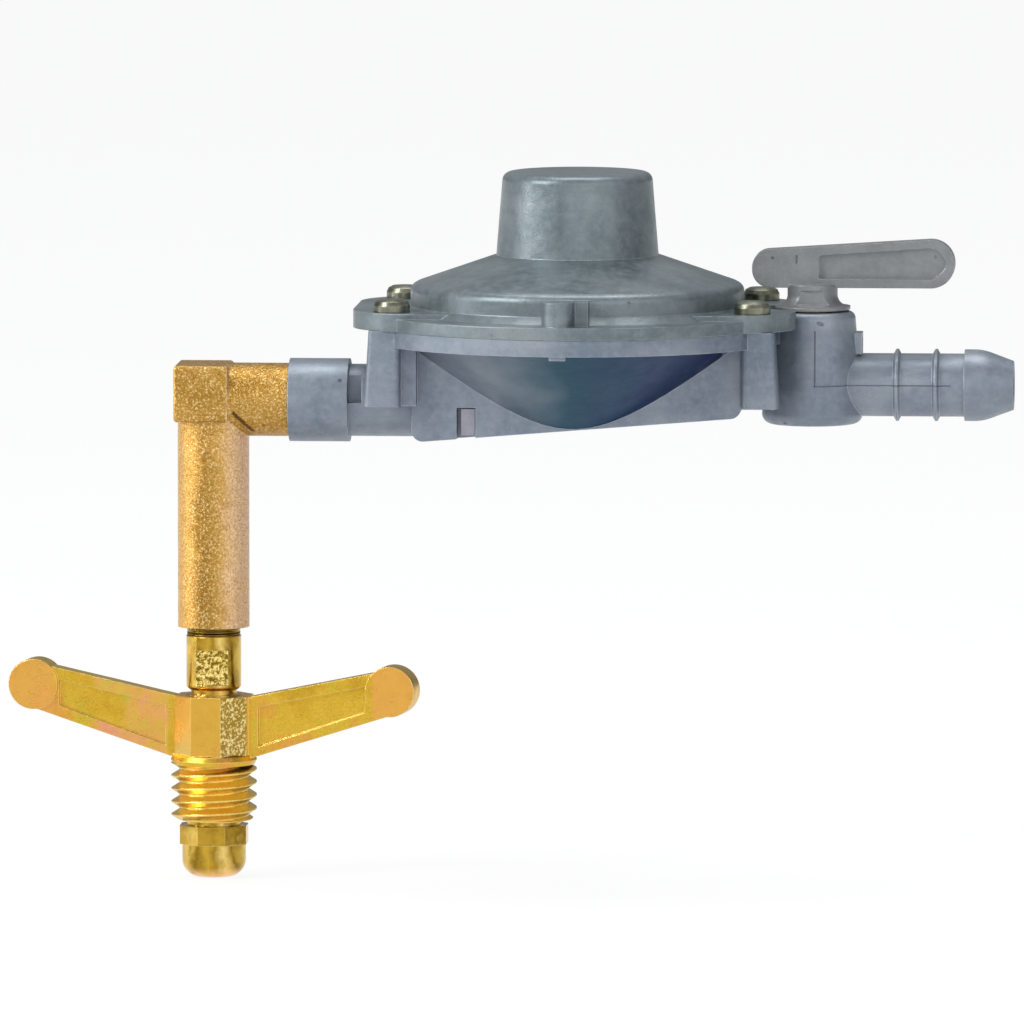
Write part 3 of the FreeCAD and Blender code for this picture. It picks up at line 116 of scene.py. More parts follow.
def make_world():
    """Pale all round, brighter overhead."""
    world = bpy.data.worlds.new("studio")
    bpy.context.scene.world = world
    world.use_nodes = True
    nodes, links = world.node_tree.nodes, world.node_tree.links
    nodes.clear()
    out = nodes.new("ShaderNodeOutputWorld")
    light = nodes.new("ShaderNodeBackground")
    where = nodes.new("ShaderNodeTexCoord")
    split = nodes.new("ShaderNodeSeparateXYZ")
    ramp = nodes.new("ShaderNodeValToRGB")
    links.new(where.outputs["Generated"], split.inputs[0])
    links.new(split.outputs["Z"], ramp.inputs[0])
    low, high = ramp.color_ramp.elements
    low.position, low.color = 0.0, SKY_LOW
    high.position, high.color = SKY_HIGH_AT, SKY_HIGH
    links.new(ramp.outputs[0], light.inputs["Color"])
    light.inputs["Strength"].default_value = SKY_STRENGTH
    links.new(light.outputs[0], out.inputs[0])


def make_floor():
    """A pale floor that reads as white and still takes the object's shadow."""
    mesh = bpy.data.meshes.new("floor")
    corners = [(x * FLOOR_REACH, y * FLOOR_REACH, FLOOR) for x, y in ((-1, -1), (1, -1), (1, 1), (-1, 1))]
    mesh.from_pydata(corners, [], [(0, 1, 2, 3)])
    floor = put("floor", mesh)
    material = bpy.data.materials.new("floor_white")
    material.use_nodes = True
    tree = material.node_tree
    shader = tree.nodes["Principled BSDF"]
    shader.inputs["Base Color"].default_value = FLOOR_COLOUR
    shader.inputs["Roughness"].default_value = FLOOR_ROUGHNESS
    glow = tree.nodes.new("ShaderNodeEmission")
    glow.inputs["Color"].default_value = (1, 1, 1, 1)
    share = tree.nodes.new("ShaderNodeMath")
    share.operation = "MULTIPLY"
    share.inputs[1].default_value = FLOOR_GLOW
    tree.links.new(seen_directly(tree), share.inputs[0])
    mix = tree.nodes.new("ShaderNodeMixShader")
    tree.links.new(share.outputs[0], mix.inputs[0])
    tree.links.new(shader.outputs[0], mix.inputs[1])
    tree.links.new(glow.outputs[0], mix.inputs[2])
    tree.links.new(mix.outputs[0], tree.nodes["Material Output"].inputs["Surface"])
    mesh.materials.append(material)


def make_lights():
    for name, place, size, power in LAMPS:
        data = bpy.data.lights.new(name, "AREA")
        data.shape = "RECTANGLE"
        data.size, data.size_y = size
        data.energy = power
        lamp = put(name, data)
        lamp.location = place
        lamp.rotation_euler = (Vector(place) - LAMP_AIM).to_track_quat("Z", "Y").to_euler()


# ---------------------------------------------------------------- tools for materials
EDGE_RADIUS = 0.0003


def scaled(colour, factor):
    return tuple(c * factor for c in colour)


class Finish:
    """A material under construction: short names for its nodes."""

    def __init__(self, name):
        self.material = bpy.data.materials.new(name)
        self.material.use_nodes = True
        self.tree = self.material.node_tree
        self.shader = self.tree.nodes["Principled BSDF"]
        texture = self.node("ShaderNodeTexCoord")
        self.place = texture.outputs["Object"]
        self.turn = texture.outputs["Normal"]
        bevel = self.node("ShaderNodeBevel", samples=4)
        bevel.inputs["Radius"].default_value = EDGE_RADIUS
        self.rounded = bevel.outputs[0]

    def node(self, kind, **values):
        node = self.tree.nodes.new(kind)
        for key, value in values.items():
            setattr(node, key, value)
        return node

    def link(self, a, b):
        self.tree.links.new(a, b)

    def feed(self, value, socket):
        """Puts a number, a colour (tuple), a Vector or another node's output into a socket."""
        if isinstance(value, tuple):
            socket.default_value = (*value, 1)
        elif isinstance(value, (int, float, Vector)):
            socket.default_value = value
        else:
            self.link(value, socket)

    def noise(self, per_metre, detail=4.0, rough=0.55, stretch=None):
        place = self.place
        if stretch:
            mapping = self.node("ShaderNodeMapping")
            mapping.inputs["Scale"].default_value = stretch
            self.link(place, mapping.inputs["Vector"])
            place = mapping.outputs[0]
        noise = self.node("ShaderNodeTexNoise")
        noise.inputs["Scale"].default_value = per_metre
        noise.inputs["Detail"].default_value = detail
        noise.inputs["Roughness"].default_value = rough
        self.link(place, noise.inputs["Vector"])
        return noise.outputs["Fac"]

    def ramp(self, value, stops):
        ramp = self.node("ShaderNodeValToRGB")
        points = ramp.color_ramp.elements
        while len(points) < len(stops):
            points.new(0.5)
        for point, (at, colour) in zip(points, stops):
            point.position = at
            point.color = (*colour, 1)
        self.link(value, ramp.inputs[0])
        return ramp.outputs[0]

    def span(self, value, low, high, start=0.3, end=0.7):
        """From low at start to high at end, and no further."""
        span = self.node("ShaderNodeMapRange")
        span.inputs["From Min"].default_value = start
        span.inputs["From Max"].default_value = end
        span.inputs["To Min"].default_value = low
        span.inputs["To Max"].default_value = high
        self.link(value, span.inputs["Value"])
        return span.outputs[0]

    def above(self, value, start, end):
        return self.span(value, 0.0, 1.0, start, end)

    def below(self, value, start, end):
        return self.span(value, 1.0, 0.0, start, end)

    def mix(self, factor, a, b):
        mix = self.node("ShaderNodeMix", data_type="RGBA")
        for value, socket in ((factor, mix.inputs[0]), (a, mix.inputs[6]), (b, mix.inputs[7])):
            self.feed(value, socket)
        return mix.outputs[2]

    def bump(self, value, height, before=None):
        bump = self.node("ShaderNodeBump")
        bump.inputs["Strength"].default_value = 1.0
        bump.inputs["Distance"].default_value = height
        self.link(value, bump.inputs["Height"])
        self.link(before or self.rounded, bump.inputs["Normal"])
        return bump.outputs[0]

    def maths(self, operation, a, b=None):
        node = self.node("ShaderNodeMath", operation=operation)
        self.feed(a, node.inputs[0])
        if b is not None:
            self.feed(b, node.inputs[1])
        return node.outputs[0]

    def vectors(self, operation, a, b):
        """Vector maths: a number from a dot product or a distance, else a vector."""
        node = self.node("ShaderNodeVectorMath", operation=operation)
        self.feed(a, node.inputs[0])
        self.feed(b, node.inputs[1])
        return node.outputs["Value" if operation in ("DOT_PRODUCT", "DISTANCE") else "Vector"]

    def both(self, *masks):
        """All masks, or a mask and a number, multiplied."""
        total = masks[0]
        for mask in masks[1:]:
            total = self.maths("MULTIPLY", total, mask)
        return total

    def part(self, vector, axis):
        split = self.node("ShaderNodeSeparateXYZ")
        self.link(vector, split.inputs[0])
        return split.outputs[axis]

    def along(self, axis):
        """The place along one axis of the object, in metres."""
        return self.part(self.place, axis)

    def turned(self, axis):
        """The object's own normal along one of its axes, -1 to 1."""
        return self.part(self.turn, axis)

    def edges(self):
        """About 1 along edges, 0 on open faces."""
        plain = self.node("ShaderNodeNewGeometry").outputs["Normal"]
        return self.below(self.vectors("DOT_PRODUCT", self.rounded, plain), 0.80, 0.995)

    def near_line(self, line, front):
        """1 on a line drawn in the x-z plane, on what lies nearer than y = front."""
        (start_x, start_z), (end_x, end_z), half = line
        start, end = Vector((start_x, 0, start_z)), Vector((end_x, 0, end_z))
        way = end - start
        flat = self.vectors("MULTIPLY", self.place, Vector((1, 0, 1)))
        left = self.vectors("SUBTRACT", flat, start)
        share = self.node("ShaderNodeMath", operation="MULTIPLY", use_clamp=True)
        share.inputs[1].default_value = 1.0
        self.link(self.vectors("DOT_PRODUCT", left, way / way.length_squared), share.inputs[0])
        foot = self.node("ShaderNodeVectorMath", operation="SCALE")
        foot.inputs[0].default_value = way
        self.link(share.outputs[0], foot.inputs["Scale"])
        gap = self.vectors("DISTANCE", left, foot.outputs[0])
        return self.both(self.below(gap, half * 0.4, half),
                         self.below(self.along("Y"), front - 0.0003, front))

    def pits(self, per_metre, share):
        """Small round spots in a share of all cells: 1 inside a spot."""
        cells = self.node("ShaderNodeTexVoronoi", feature="F1", distance="EUCLIDEAN")
        cells.inputs["Scale"].default_value = per_metre
        self.link(self.place, cells.inputs["Vector"])
        pick = self.node("ShaderNodeSeparateColor")
        self.link(cells.outputs["Color"], pick.inputs[0])
        return self.both(self.below(pick.outputs[0], share, share + 0.01),
                         self.below(cells.outputs["Distance"], 0.07, 0.16))

    def done(self, colour, metallic, roughness, normal):
        for name, value in (("Base Color", colour), ("Metallic", metallic),
                            ("Roughness", roughness), ("Normal", normal)):
            self.feed(value, self.shader.inputs[name])
        return self.material


# ---------------------------------------------------------------- materials
# A line is a start (x, z), an end (x, z) and half its width, all in metres. A pair is where a mask
# starts to change and where it has changed.
HOUSING_LINES = (
    ((0.1088, 0.0794), (0.1088, 0.0696), 0.00014),
    ((0.1088, 0.0696), (0.1330, 0.0696), 0.00014),
    ((0.1094, 0.0809), (0.1101, 0.0807), 0.0004),
)
HANDLE_LINES = (
    ((0.1008, 0.0922), (0.1010, 0.0920), 0.00025),
    ((0.1052, 0.0925), (0.1052, 0.0912), 0.00022),
    ((0.1301, 0.0925), (0.1302, 0.0922), 0.0003),
)
ZINC_FRONT = -0.0008

# Painted shade for the bowl's downward-looking outside: teal, then navy.
BOWL_SHADE_TEAL = (0.0, 0.046, 0.080)
BOWL_SHADE_NAVY = (0.0, 0.012, 0.075)
BOWL_RADIUS = (0.0352, 0.0358)
BOWL_HALF_LENGTH = (0.0281, 0.0283)

# The inside corner where the arm's tube meets its leg: a groove in relief, darkened with painted shade.
MITRE_LINE = ((0.0041, 0.0640), (0.0074, 0.0606), 0.00035)
MITRE_FRONT = -0.0035
# Painted reflections and shade, by facing, from the brass arm's left side, by its front, to its right side.
BRASS_PAINTED_REFLECTIONS = [
    (0.0, (0.84, 0.50, 0.16)), (0.18, (0.72, 0.40, 0.09)), (0.36, (0.27, 0.135, 0.016)),
    (0.50, (0.36, 0.19, 0.03)), (0.64, (0.50, 0.285, 0.075)), (0.80, (0.74, 0.47, 0.26)),
    (1.0, (0.70, 0.45, 0.28)),
]

CHROMATE = [
    (0.28, (0.50, 0.30, 0.02)), (0.42, (0.76, 0.46, 0.045)), (0.52, (0.80, 0.53, 0.06)),
    (0.62, (0.84, 0.42, 0.07)), (0.76, (0.86, 0.38, 0.16)),
]
ROSE = [(0.34, (0.60, 0.52, 0.08)), (0.46, (0.80, 0.44, 0.10)), (0.64, (0.84, 0.36, 0.20))]
# Painted reflections by facing, from the hub's left facets to its right ones.
HUB_PAINTED_REFLECTIONS = [
    (0.10, (0.78, 0.54, 0.15)), (0.30, (0.80, 0.54, 0.13)), (0.50, (0.70, 0.35, 0.028)),
    (0.66, (0.27, 0.17, 0.022)), (0.88, (0.27, 0.17, 0.022)), (0.98, (0.95, 0.72, 0.20)),
]
WING_PANEL_DEPTH = (0.0013, 0.0015)
WING_PANEL_FROM = (0.0080, 0.0084)
WING_DISC_FROM = (0.0288, 0.0296)
HUB_RADIUS = (0.0068, 0.0071)
HUB_FOOT = (0.0016, 0.0019)

# Painted reflections by facing, from the nipple's left side to its right side.
NIPPLE_PAINTED_REFLECTIONS = [
    (0.0, (0.52, 0.34, 0.04)), (0.12, (0.82, 0.56, 0.12)), (0.26, (0.26, 0.15, 0.012)),
    (0.42, (0.60, 0.38, 0.045)), (0.54, (0.34, 0.20, 0.018)), (0.68, (0.84, 0.60, 0.18)),
    (0.84, (0.24, 0.14, 0.012)), (1.0, (0.62, 0.42, 0.07)),
]
NIPPLE_GRAINS = [(0.42, (0.17, 0.11, 0.015)), (0.50, (0.52, 0.34, 0.05)), (0.60, (0.98, 0.78, 0.30))]
NIPPLE_FLAT_FROM = (0.0143, 0.0146)
NIPPLE_FLAT_TO = (0.0208, 0.0211)
SPIGOT_FROM = (0.0233, 0.0234)
SPIGOT_PITCH = 0.0009


def painted_bowl_shade(f, colour):
    """Painted shade on the conical bowl's outside, where it looks down: teal, then navy towards the hose
    tail.
    """
    flat = f.vectors("MULTIPLY", f.place, Vector((1, 1, 0)))
    out = f.vectors("DISTANCE", flat, Vector((SEAT_X, 0, 0)))
    away = f.maths("ABSOLUTE", f.maths("SUBTRACT", f.along("X"), SEAT_X))
    bowl = f.both(f.below(out, *BOWL_RADIUS), f.below(away, *BOWL_HALF_LENGTH))
    under = f.below(f.turned("Z"), -0.12, -0.04)
    side = f.maths("ADD", f.turned("X"), f.span(f.noise(60, 2), -0.08, 0.08))
    shade_colour = f.ramp(f.above(side, -0.2, 0.75), [(0.15, BOWL_SHADE_TEAL), (0.75, BOWL_SHADE_NAVY)])
    return f.mix(f.both(bowl, under, f.span(side, 0.1, 1.0, -0.42, -0.02)), colour, shade_colour)


def zinc(name, deep, middle, pale, roughness=0.40, metallic=0.45, lines=(), bowl=False):
    """Bare die-cast zinc: clouded, finely grained, brighter along its edges with a painted highlight, with a
    few dark pits, and painted shade on the bowl when asked.
    """
    f = Finish(name)
    mottle = f.noise(700, 4, 0.65)
    fine = f.noise(4200, 2, 0.5)
    flow = f.noise(120, 4, 0.6, stretch=(0.5, 1.0, 3.0))
    colour = f.ramp(f.noise(70, 6, 0.6), [(0.34, deep), (0.52, middle), (0.72, pale)])
    colour = f.mix(f.span(mottle, 0.0, 0.5, 0.42, 0.72), colour, pale)
    colour = f.mix(f.span(flow, 0.4, 0.0, 0.28, 0.5), colour, deep)
    colour = f.mix(f.span(fine, 0.0, 0.3), colour, deep)
    # Painted shade on the bowl, where it looks down.
    if bowl:
        colour = painted_bowl_shade(f, colour)
    colour = f.mix(f.both(f.pits(300, 0.04), 0.8), colour, scaled(deep, 0.3))
    # Painted highlight along the edges, broken up by noise.
    edge_highlight = f.both(f.edges(), f.span(f.noise(500, 3), 0.2, 0.85))
    colour = f.mix(edge_highlight, colour, scaled(pale, 2.0))
    normal = f.bump(fine, 0.000025)
    normal = f.bump(mottle, 0.00005, normal)
    normal = f.bump(f.noise(90, 3), 0.00015, normal)
    for line in lines:
        mark = f.near_line(line, ZINC_FRONT)
        colour = f.mix(f.both(mark, 0.55), colour, scaled(deep, 0.35))
        normal = f.bump(mark, -0.0001, normal)
    rough = f.span(f.noise(350, 4), roughness - 0.07, roughness + 0.10)
    return f.done(colour, metallic, rough, normal)


def sand_brass(name):
    """Brass cast in sand: a granular skin, with painted reflections by facing: orange on the left, darker in
    front, pinker on the right.
    """
    f = Finish(name)
    grains = f.noise(2600, 3, 0.7)
    coarse = f.noise(900, 3, 0.6)
    # Painted reflections and shade: colour banded by which way the surface faces.
    side = f.maths("ADD", f.turned("X"), f.span(f.noise(220, 3), -0.12, 0.12))
    colour = f.ramp(f.above(side, -1.0, 1.0), BRASS_PAINTED_REFLECTIONS)
    colour = f.mix(f.span(f.noise(90, 4), 0.0, 0.3, 0.45, 0.65), colour, (0.62, 0.35, 0.075))
    colour = f.mix(f.span(grains, 0.0, 0.6, 0.52, 0.68), colour, (1.0, 0.80, 0.42))
    colour = f.mix(f.span(grains, 0.7, 0.0, 0.30, 0.46), colour, (0.20, 0.09, 0.01))
    colour = f.mix(f.pits(420, 0.05), colour, (0.10, 0.04, 0.008))
    # Painted highlight along the edges.
    colour = f.mix(f.both(f.edges(), 0.5), colour, (0.95, 0.66, 0.30))
    mitre = f.near_line(MITRE_LINE, MITRE_FRONT)
    # Painted shade in the mitre crease; the bump below gives the groove itself.
    colour = f.mix(f.both(mitre, 0.85), colour, (0.07, 0.03, 0.006))
    normal = f.bump(grains, 0.00012)
    normal = f.bump(coarse, 0.00014, normal)
    normal = f.bump(mitre, -0.0003, normal)
    return f.done(colour, 0.85, f.span(coarse, 0.30, 0.46), normal)


def wing_plate(name):
    """The wing screw: cast, yellow plated, rose in its sunk panels and orange on its disc ends, with painted
    reflections on the hub's facets, painted glints on its grains, painted light on the thread and a painted
    highlight along its edges.
    """
    f = Finish(name)
    fine = f.noise(3000, 2, 0.6)
    colour = f.ramp(f.noise(90, 4, 0.55), CHROMATE)
    colour = f.mix(f.span(f.noise(230, 3), 0.0, 0.5, 0.54, 0.72), colour, (0.58, 0.56, 0.05))
    colour = f.mix(f.span(fine, 0.0, 0.35), colour, (0.34, 0.19, 0.01))
    across = f.maths("ABSOLUTE", f.along("Y"))
    away = f.maths("ABSOLUTE", f.along("X"))
    flat = f.above(f.maths("ABSOLUTE", f.turned("Y")), 0.85, 0.95)
    panel = f.both(f.below(across, *WING_PANEL_DEPTH), f.above(away, *WING_PANEL_FROM), flat)
    colour = f.mix(f.both(panel, 0.85), colour, f.ramp(f.noise(140, 4, 0.6), ROSE))
    ends = f.both(f.above(away, *WING_DISC_FROM), flat)
    colour = f.mix(f.both(ends, 0.7), colour, (0.84, 0.41, 0.10))
    # Painted reflections: the hub's facets coloured by which way they face.
    facet_reflections = f.ramp(f.above(f.turned("X"), -1.0, 1.0), HUB_PAINTED_REFLECTIONS)
    hub = f.both(f.below(away, *HUB_RADIUS), f.above(f.along("Z"), *HUB_FOOT))
    colour = f.mix(f.both(hub, 0.8), colour, facet_reflections)
    # Painted glints: bright grains only on the hub's right-facing facets.
    glinting_grains = f.both(hub, f.above(f.turned("X"), 0.4, 0.6), f.above(f.noise(1900, 3, 0.7), 0.50, 0.58))
    colour = f.mix(f.both(glinting_grains, 0.85), colour, (1.0, 0.82, 0.38))
    # Painted light on the thread below the shoulder: lighter colour standing in for light bounced between
    # its turns.
    thread = f.span(f.along("Z"), 0.45, 0.0, -0.0002, 0.0)
    colour = f.mix(thread, colour, (0.96, 0.70, 0.22))
    # Painted highlight along the edges.
    colour = f.mix(f.both(f.edges(), 0.8), colour, (1.0, 0.78, 0.30))
    normal = f.bump(fine, 0.00003)
    normal = f.bump(f.noise(260, 3), 0.00008, normal)
    return f.done(colour, 1.0, f.span(f.noise(600, 3), 0.24, 0.38), normal)


def nipple_plate(name):
    """The nipple: turned, glossy, with upright bands of painted reflection, a painted dark patch in front,
    painted highlight underneath and along its edges, grainy on its flats, fine thread above its collar.
    """
    f = Finish(name)
    fine = f.noise(2600, 2, 0.6)
    # Painted reflections: colour banded by which way the surface faces.
    side = f.maths("ADD", f.turned("X"), f.span(f.noise(300, 3), -0.14, 0.14))
    colour = f.ramp(f.above(side, -1.0, 1.0), NIPPLE_PAINTED_REFLECTIONS)
    colour = f.mix(f.span(f.noise(240, 4), 0.0, 0.5, 0.5, 0.72), colour, (0.60, 0.34, 0.04))
    # Painted dark reflection in patches on the side that faces the front.
    dark_reflection_patch = f.span(f.noise(170, 3, 0.6), 0.0, 0.75, 0.56, 0.66)
    colour = f.mix(f.both(dark_reflection_patch, f.below(f.turned("Y"), -0.7, -0.4)), colour, (0.13, 0.075, 0.008))
    # Painted highlight: peach where the surface looks down.
    underside_highlight = f.both(f.span(f.turned("Z"), 0.9, 0.0, -0.75, -0.35), f.span(f.noise(420, 3), 0.3, 1.0))
    colour = f.mix(underside_highlight, colour, (0.98, 0.56, 0.24))
    height = f.along("Z")
    flat = f.both(f.above(f.maths("ABSOLUTE", f.turned("Y")), 0.990, 0.996),
                  f.above(height, *NIPPLE_FLAT_FROM), f.below(height, *NIPPLE_FLAT_TO))
    colour = f.mix(flat, colour, f.ramp(f.noise(1900, 3, 0.7), NIPPLE_GRAINS))
    spigot = f.above(height, *SPIGOT_FROM)
    ridges = f.maths("SINE", f.maths("MULTIPLY", height, 2 * math.pi / SPIGOT_PITCH))
    colour = f.mix(f.both(spigot, 0.8), colour, (0.22, 0.16, 0.03))
    # Painted highlight along the edges.
    colour = f.mix(f.both(f.edges(), 0.6), colour, (1.0, 0.78, 0.32))
    normal = f.bump(fine, 0.000012)
    normal = f.bump(f.both(spigot, ridges), 0.00025, normal)
    return f.done(colour, 1.0, f.span(f.noise(500, 3), 0.12, 0.24), normal)


def turned_metal(name, deep, pale, roughness):
    """Turned, drawn or pressed metal, finely streaked."""
    f = Finish(name)
    colour = f.ramp(f.noise(300, 4), [(0.3, deep), (0.7, pale)])
    fine = f.noise(3500, 2, 0.5, stretch=(1.0, 1.0, 4.0))
    colour = f.mix(f.span(fine, 0.0, 0.3), colour, scaled(deep, 0.6))
    rough = f.span(f.noise(700, 3), roughness - 0.05, roughness + 0.08)
    return f.done(colour, 1.0, rough, f.bump(fine, 0.00001))


def rubber(name):
    f = Finish(name)
    colour = f.ramp(f.noise(400, 4), [(0.3, (0.010, 0.010, 0.011)), (0.7, (0.022, 0.022, 0.024))])
    return f.done(colour, 0.0, f.span(f.noise(900, 3), 0.5, 0.7), f.bump(f.noise(2500, 3), 0.00003))


MATERIALS = {}


def make_materials():
    MATERIALS["housing"] = zinc(
        "housing_zinc", (0.125, 0.155, 0.20), (0.195, 0.225, 0.265), (0.28, 0.31, 0.345),
        lines=HOUSING_LINES, bowl=True)
    MATERIALS["cover"] = zinc(
        "cover_zinc", (0.10, 0.13, 0.142), (0.155, 0.19, 0.205), (0.24, 0.27, 0.28),
        roughness=0.34, metallic=0.5)
    MATERIALS["handle"] = zinc(
        "handle_zinc", (0.13, 0.142, 0.145), (0.19, 0.20, 0.205), (0.25, 0.26, 0.265),
        lines=HANDLE_LINES)
    MATERIALS["pin"] = zinc(
        "pin_zinc", (0.17, 0.17, 0.21), (0.25, 0.245, 0.29), (0.34, 0.33, 0.37), roughness=0.36)
    MATERIALS["brass"] = sand_brass("sand_cast_brass")
    MATERIALS["yellow"] = wing_plate("yellow_zinc")
    MATERIALS["gold"] = nipple_plate("glossy_yellow_zinc")
    MATERIALS["screw"] = turned_metal("olive_zinc", (0.12, 0.125, 0.09), (0.34, 0.34, 0.26), 0.30)
    MATERIALS["turned"] = turned_metal("turned_brass", (0.62, 0.42, 0.14), (0.78, 0.56, 0.22), 0.24)
    MATERIALS["steel"] = turned_metal("bright_steel", (0.48, 0.49, 0.50), (0.62, 0.63, 0.64), 0.24)
    MATERIALS["rubber"] = rubber("black_rubber")


FINISHES = {
    "lower_housing": "housing", "cover": "cover", "cock_handle": "handle", "elbow_arm": "brass",
    "wing_screw": "yellow", "inlet_nipple": "gold", "cover_screws": "screw",
    "cock_plug": "turned", "inlet_jet": "turned", "inlet_filter": "turned",
    "rocker_lever": "steel", "rocker_pin": "pin", "diaphragm_plate": "steel", "diaphragm_stem": "steel",
    "stem_nut": "steel", "main_spring": "steel", "spring_seat": "steel", "plug_stop_pin": "steel",
    "valve_pad": "rubber", "diaphragm": "rubber", "plug_seal_rings": "rubber",
}


def dress_nodes():
    for node, finish in FINISHES.items():
        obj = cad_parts[node]
        obj.data.materials.clear()
        obj.data.materials.append(MATERIALS[finish])


# ---------------------------------------------------------------- wing screw and handle
MERGE_DISTANCE = 0.000002
SHARP_ANGLE = math.radians(28)

# The sunk panels: how far from the middle plane their floors lie, and where the metal round them ends.
PANEL_NEAREST = 0.0008
PANEL_FARTHEST = 0.0012
PANEL_TOP = 0.0018

CORNER_STEPS = 8
CORNER_REACH = 0.48
CORNER_FLATTEST = math.radians(85)
CORNER_SINK = 0.95

THREAD_CREST = 0.00775
THREAD_ROOT = 0.0063
THREAD_PITCH = 0.00236
THREAD_FOOT = -0.0101
THREAD_HEAD = 0.0002
THREAD_START = 0.0009
THREAD_START_SHARE = 0.35
CREST_AT = -0.00094
CREST_FLAT = 0.10
FLANK = 0.78
BORE = 0.0050
AROUND = 72
ROWS = 120
CAST_FROM = 0.00001


def copied(node):
    """A node's mesh as an editable copy with its doubled corners merged."""
    mesh = bmesh.new()
    mesh.from_mesh(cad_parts[node].data)
    bmesh.ops.remove_doubles(mesh, verts=mesh.verts, dist=MERGE_DISTANCE)
    return mesh


def put_in_place(name, data, node, body):
    """Puts a mesh in the place of a node."""
    piece = put(name, data)
    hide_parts(node)
    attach(piece, body)
    return piece


def finished(mesh, name, node, body, finish):
    """Turns an edited copy into a smooth mesh with sharp edges, in the place of its node."""
    bmesh.ops.recalc_face_normals(mesh, faces=mesh.faces)
    data = bpy.data.meshes.new(name)
    mesh.to_mesh(data)
    mesh.free()
    for stale in ("custom_normal", "sharp_edge"):
        if stale in data.attributes:
            data.attributes.remove(data.attributes[stale])
    data.polygons.foreach_set("use_smooth", [True] * len(data.polygons))
    data.set_sharp_from_angle(angle=SHARP_ANGLE)
    data.materials.append(MATERIALS[finish])
    put_in_place(name, data, node, body)


def panel_floors(mesh):
    """The floors of the sunk panels, each as the group of faces that it is made of."""
    left = {face for face in mesh.faces
            if abs(face.normal.y) > 0.99
            and PANEL_NEAREST < abs(face.calc_center_median().y) < PANEL_FARTHEST}
    while left:
        group, open_faces = set(), [left.pop()]
        while open_faces:
            face = open_faces.pop()
            group.add(face)
            for edge in face.edges:
                for other in edge.link_faces:
                    if other in left:
                        left.remove(other)
                        open_faces.append(other)
        yield group


def fill_corner(mesh, before, corner, after, top, radius):
    """A small solid between two walls that gives their corner a round."""
    one, two = before - corner, after - corner
    reach = CORNER_REACH * min(one.length, two.length)
    one.normalize()
    two.normalize()
    half = one.angle(two) / 2
    if half > CORNER_FLATTEST:
        return
    cut = min(reach, radius / math.tan(half))
    radius = cut * math.tan(half)
    centre = corner + (one + two).normalized() * (radius / math.sin(half))
    start, end = corner + one * cut - centre, corner + two * cut - centre
    arc = [centre + start.slerp(end, step / CORNER_STEPS).normalized() * radius
           for step in range(CORNER_STEPS + 1)]
    floor = corner.y * CORNER_SINK
    low = [mesh.verts.new((p.x, floor, p.z)) for p in [corner] + arc]
    high = [mesh.verts.new((p.x, top, p.z)) for p in [corner] + arc]
    mesh.faces.new(low)
    mesh.faces.new(high[::-1])
    for side in zip(low, high, high[1:] + high[:1], low[1:] + low[:1]):
        mesh.faces.new(side)


def round_panels(mesh, radius_at):
    for group in list(panel_floors(mesh)):
        corners = list({vert for face in group for vert in face.verts})
        side = 1 if corners[0].co.y > 0 else -1
        middle = sum((vert.co for vert in corners), Vector()) / len(corners)
        corners.sort(key=lambda vert: math.atan2(vert.co.z - middle.z, vert.co.x - middle.x))
        places = [vert.co.copy() for vert in corners]
        for before, corner, after in zip(places[-1:] + places[:-1], places, places[1:] + places[:1]):
            fill_corner(mesh, before, corner, after, side * PANEL_TOP, radius_at(corner))


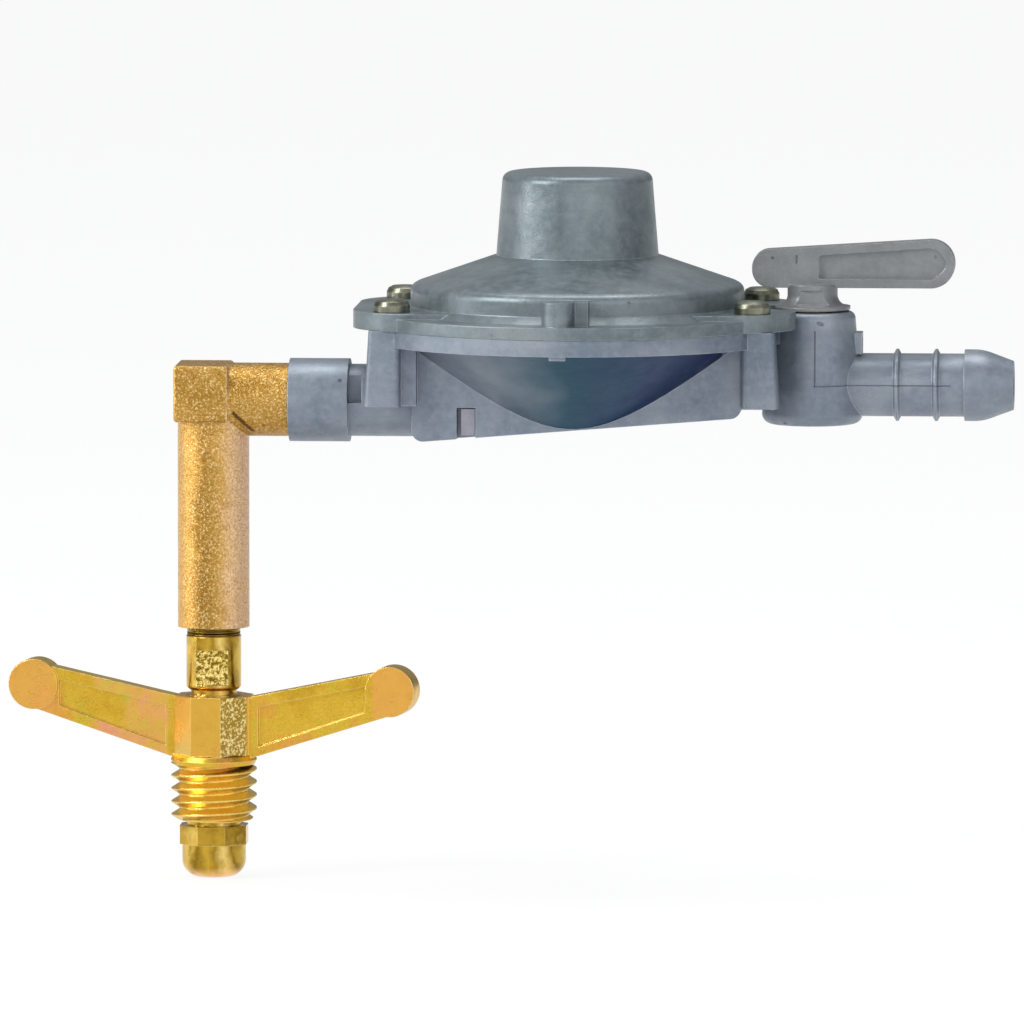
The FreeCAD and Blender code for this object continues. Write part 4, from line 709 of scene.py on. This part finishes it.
def thread_radius(turn, height):
    """A V thread with a small flat on its crest and in its root, rising from a lower start at its foot."""
    phase = ((height - CREST_AT) / THREAD_PITCH - turn) % 1.0
    off = min(phase, 1.0 - phase) * 2
    depth = min(1.0, max(0.0, (off - CREST_FLAT) / FLANK))
    start = min(1.0, max(0.0, (height - THREAD_FOOT) / THREAD_START))
    rise = THREAD_CREST - THREAD_ROOT
    highest = THREAD_ROOT + rise * (THREAD_START_SHARE + (1 - THREAD_START_SHARE) * start)
    return min(THREAD_CREST - rise * depth, highest)


def add_ring(mesh, height, radius_at):
    ring = []
    for step in range(AROUND):
        turn = step / AROUND
        radius = radius_at(turn, height)
        angle = 2 * math.pi * turn
        ring.append(mesh.verts.new((radius * math.cos(angle), radius * math.sin(angle), height)))
    return ring


def add_thread(mesh):
    """Adds the threaded sleeve: its outside, its two ends and its bore."""
    heights = [THREAD_FOOT + (THREAD_HEAD - THREAD_FOOT) * row / ROWS for row in range(ROWS + 1)]
    outside = [add_ring(mesh, height, thread_radius) for height in heights]
    foot, head = [add_ring(mesh, height, lambda turn, height: BORE) for height in (THREAD_FOOT, THREAD_HEAD)]
    rows = [foot] + outside + [head]
    for low, high in zip(rows, rows[1:] + rows[:1]):
        for side in zip(low, low[1:] + low[:1], high[1:] + high[:1], high):
            mesh.faces.new(side)


def make_wing_screw():
    """The wing screw with its real thread: the cast part above the shoulder, and a threaded sleeve below."""
    mesh = copied("wing_screw")
    everything = mesh.verts[:] + mesh.edges[:] + mesh.faces[:]
    bmesh.ops.bisect_plane(mesh, geom=everything, plane_co=(0, 0, CAST_FROM), plane_no=(0, 0, 1),
                           clear_inner=True)
    round_panels(mesh, lambda corner: 0.0019 if abs(corner.x) > 0.02 else 0.0006)
    add_thread(mesh)
    finished(mesh, "wing_screw_threaded", "wing_screw", "wing", "yellow")


def make_handle():
    """The handle with the round end that its sunk panel has."""
    mesh = copied("cock_handle")
    round_panels(mesh, lambda corner: 0.0030 if corner.x > 0.125 else 0.0005)
    finished(mesh, "cock_handle_rounded", "cock_handle", "cock", "handle")


def make_spring():
    """A copy of the main spring with a mesh of its own, in the main spring's place."""
    node = "main_spring"
    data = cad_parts[node].data.copy()
    data.name = node + "_yielding"
    piece = put_in_place(data.name, data, node, "regulator")
    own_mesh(piece)


make_camera()
make_world()
make_floor()
make_lights()
make_materials()
dress_nodes()
make_wing_screw()
make_handle()
make_spring()
bpy.context.scene.view_settings.view_transform = "Standard"
